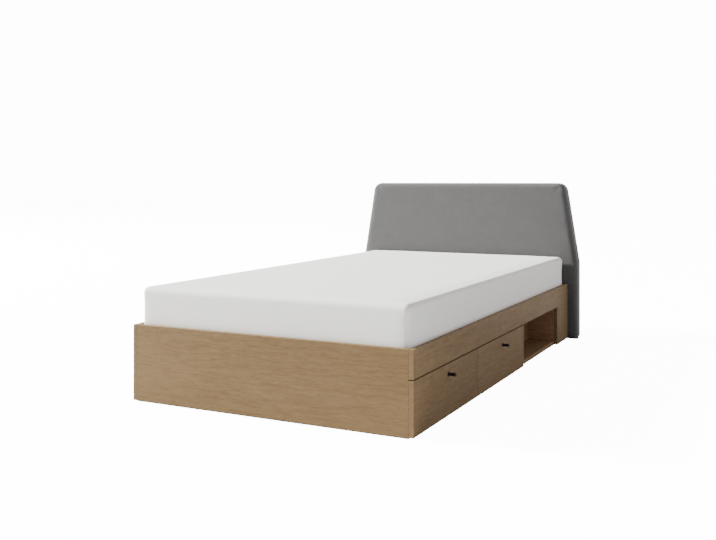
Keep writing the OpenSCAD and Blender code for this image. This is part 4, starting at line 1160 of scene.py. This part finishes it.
def stretched_cloth(name, ring, y0, y1):
    """A thin flat cloth between two depths, with its area."""
    bm = bmesh.new()
    back = [bm.verts.new((p.x, y1, p.y)) for p in ring]
    area = bm.faces.new(back).calc_area()
    low = [bm.verts.new((p.x, y0, p.y)) for p in ring]
    bm.faces.new(low[::-1])
    count = len(ring)
    for i in range(count):
        k = (i + 1) % count
        bm.faces.new((back[i], back[k], low[k], low[i]))
    layer = bm.loops.layers.uv.new("cloth")
    for face in bm.faces:
        for loop in face.loops:
            loop[layer].uv = (loop.vert.co.x, loop.vert.co.z)
    return bmesh_object(name, bm), area


# Studio

SENSOR_WIDTH = 36.0
VIEW_END = 200.0


def within_plan(g, place, lo, hi):
    """1 inside a rectangle on the floor, from lo to hi, and 0 outside it."""
    along, across = [g.math("LESS_THAN", g.math("ABSOLUTE", g.minus(value, (a + b) / 2)), (b - a) / 2)
                     for value, a, b in zip(g.split(place), lo, hi)]
    return g.times(along, across)


def floor_material(studio):
    """Pale floor that the camera sees as plain white, but for the plan of the bed."""
    mat, g, bsdf = blank_material("studio_floor", studio.floor)
    bsdf.inputs["Base Color"].default_value = (*studio.floor, 1.0)
    bsdf.inputs["Roughness"].default_value = 0.9
    bsdf.inputs["Specular IOR Level"].default_value = 0.1
    bsdf.inputs["Emission Color"].default_value = (1.0, 1.0, 1.0, 1.0)
    place = own_place(g)
    base = within_plan(g, place, FOOT_BOX[0][:2], (FOOT_BOX[1][0], COVER_BOX[1][1]))
    below = g.math("MAXIMUM", base, within_plan(g, place, COVER_BOX[0][:2], COVER_BOX[1][:2]))
    glow = g.times(g.add("ShaderNodeLightPath")["Is Camera Ray"], g.minus(1.0, below))
    g.put(bsdf.inputs["Emission Strength"], g.times(glow, studio.floor_white))
    return mat


class BED_OT_studio(bpy.types.Operator):
    """Pale floor, soft light and the camera"""
    bl_idname = "bed.studio"
    bl_label = "Studio"

    def execute(self, context):
        studio = context.scene.bed_studio
        mesh = bpy.data.meshes.new("studio_floor")
        far = studio.floor_half
        corners = [(-far, -far, 0), (far, -far, 0), (far, far, 0), (-far, far, 0)]
        mesh.from_pydata(corners, [], [(0, 1, 2, 3)])
        floor = new_object("studio_floor", mesh)
        mesh.materials.append(floor_material(studio))

        world = bpy.data.worlds.new("studio_room")
        world.use_nodes = True
        background = world.node_tree.nodes["Background"]
        background.inputs["Color"].default_value = (*studio.sky_tint, 1.0)
        g = Graph(world.node_tree)
        seen = g.times(g.add("ShaderNodeLightPath")["Is Camera Ray"], studio.backdrop - studio.sky)
        g.put(background.inputs["Strength"], g.plus(seen, studio.sky))
        context.scene.world = world

        for name in ("key", "fill"):
            light = bpy.data.lights.new(name + "_light", "AREA")
            light.energy = getattr(studio, name)
            light.size = getattr(studio, name + "_size")
            lamp = new_object(name + "_light", light)
            lamp.location = getattr(studio, name + "_place")
            lamp.rotation_euler = (-lamp.location).to_track_quat("-Z", "Y").to_euler()

        camera = bpy.data.cameras.new("camera")
        camera.lens = studio.lens
        camera.sensor_width = SENSOR_WIDTH
        camera.shift_x = studio.shift_x
        camera.shift_y = studio.shift_y
        camera.clip_end = VIEW_END
        eye = new_object("camera", camera)
        eye.location = studio.camera_place
        eye.rotation_euler = (QUARTER, 0.0, studio.camera_turn)
        context.scene.camera = eye
        return {"FINISHED"}


class BED_PT_looks(bpy.types.Panel):
    """Lists the bed's sizes, colours and steps"""
    bl_label = "Storage bed"
    bl_idname = "BED_PT_looks"
    bl_space_type = "VIEW_3D"
    bl_region_type = "UI"
    bl_category = "Bed"

    def draw(self, context):
        layout = self.layout
        for title in SETTINGS:
            group = getattr(context.scene, "bed_" + title)
            box = layout.box()
            box.label(text=title.capitalize())
            for name in group.__annotations__:
                box.prop(group, name)
        for operator in STEPS:
            layout.operator(operator.bl_idname)


STEPS = (BED_OT_studio, BED_OT_wood, BED_OT_metal, BED_OT_knobs, BED_OT_slats, BED_OT_mattress,
         BED_OT_mattress_stitches, BED_OT_headboard, BED_OT_headboard_back)
SETTINGS = {"sizes": BedSizes, "colours": BedColours, "studio": StudioSettings}
CLASSES = (*SETTINGS.values(), *STEPS, BED_PT_looks)


def register():
    for cls in CLASSES:
        bpy.utils.register_class(cls)
    for title, group in SETTINGS.items():
        setattr(bpy.types.Scene, "bed_" + title, bpy.props.PointerProperty(type=group))


def unregister():
    for title in SETTINGS:
        delattr(bpy.types.Scene, "bed_" + title)
    for cls in reversed(CLASSES):
        bpy.utils.unregister_class(cls)


def main():
    register()
    for operator in STEPS:
        group, action = operator.bl_idname.split(".")
        getattr(getattr(bpy.ops, group), action)()


if __name__ == "__main__":
    main()
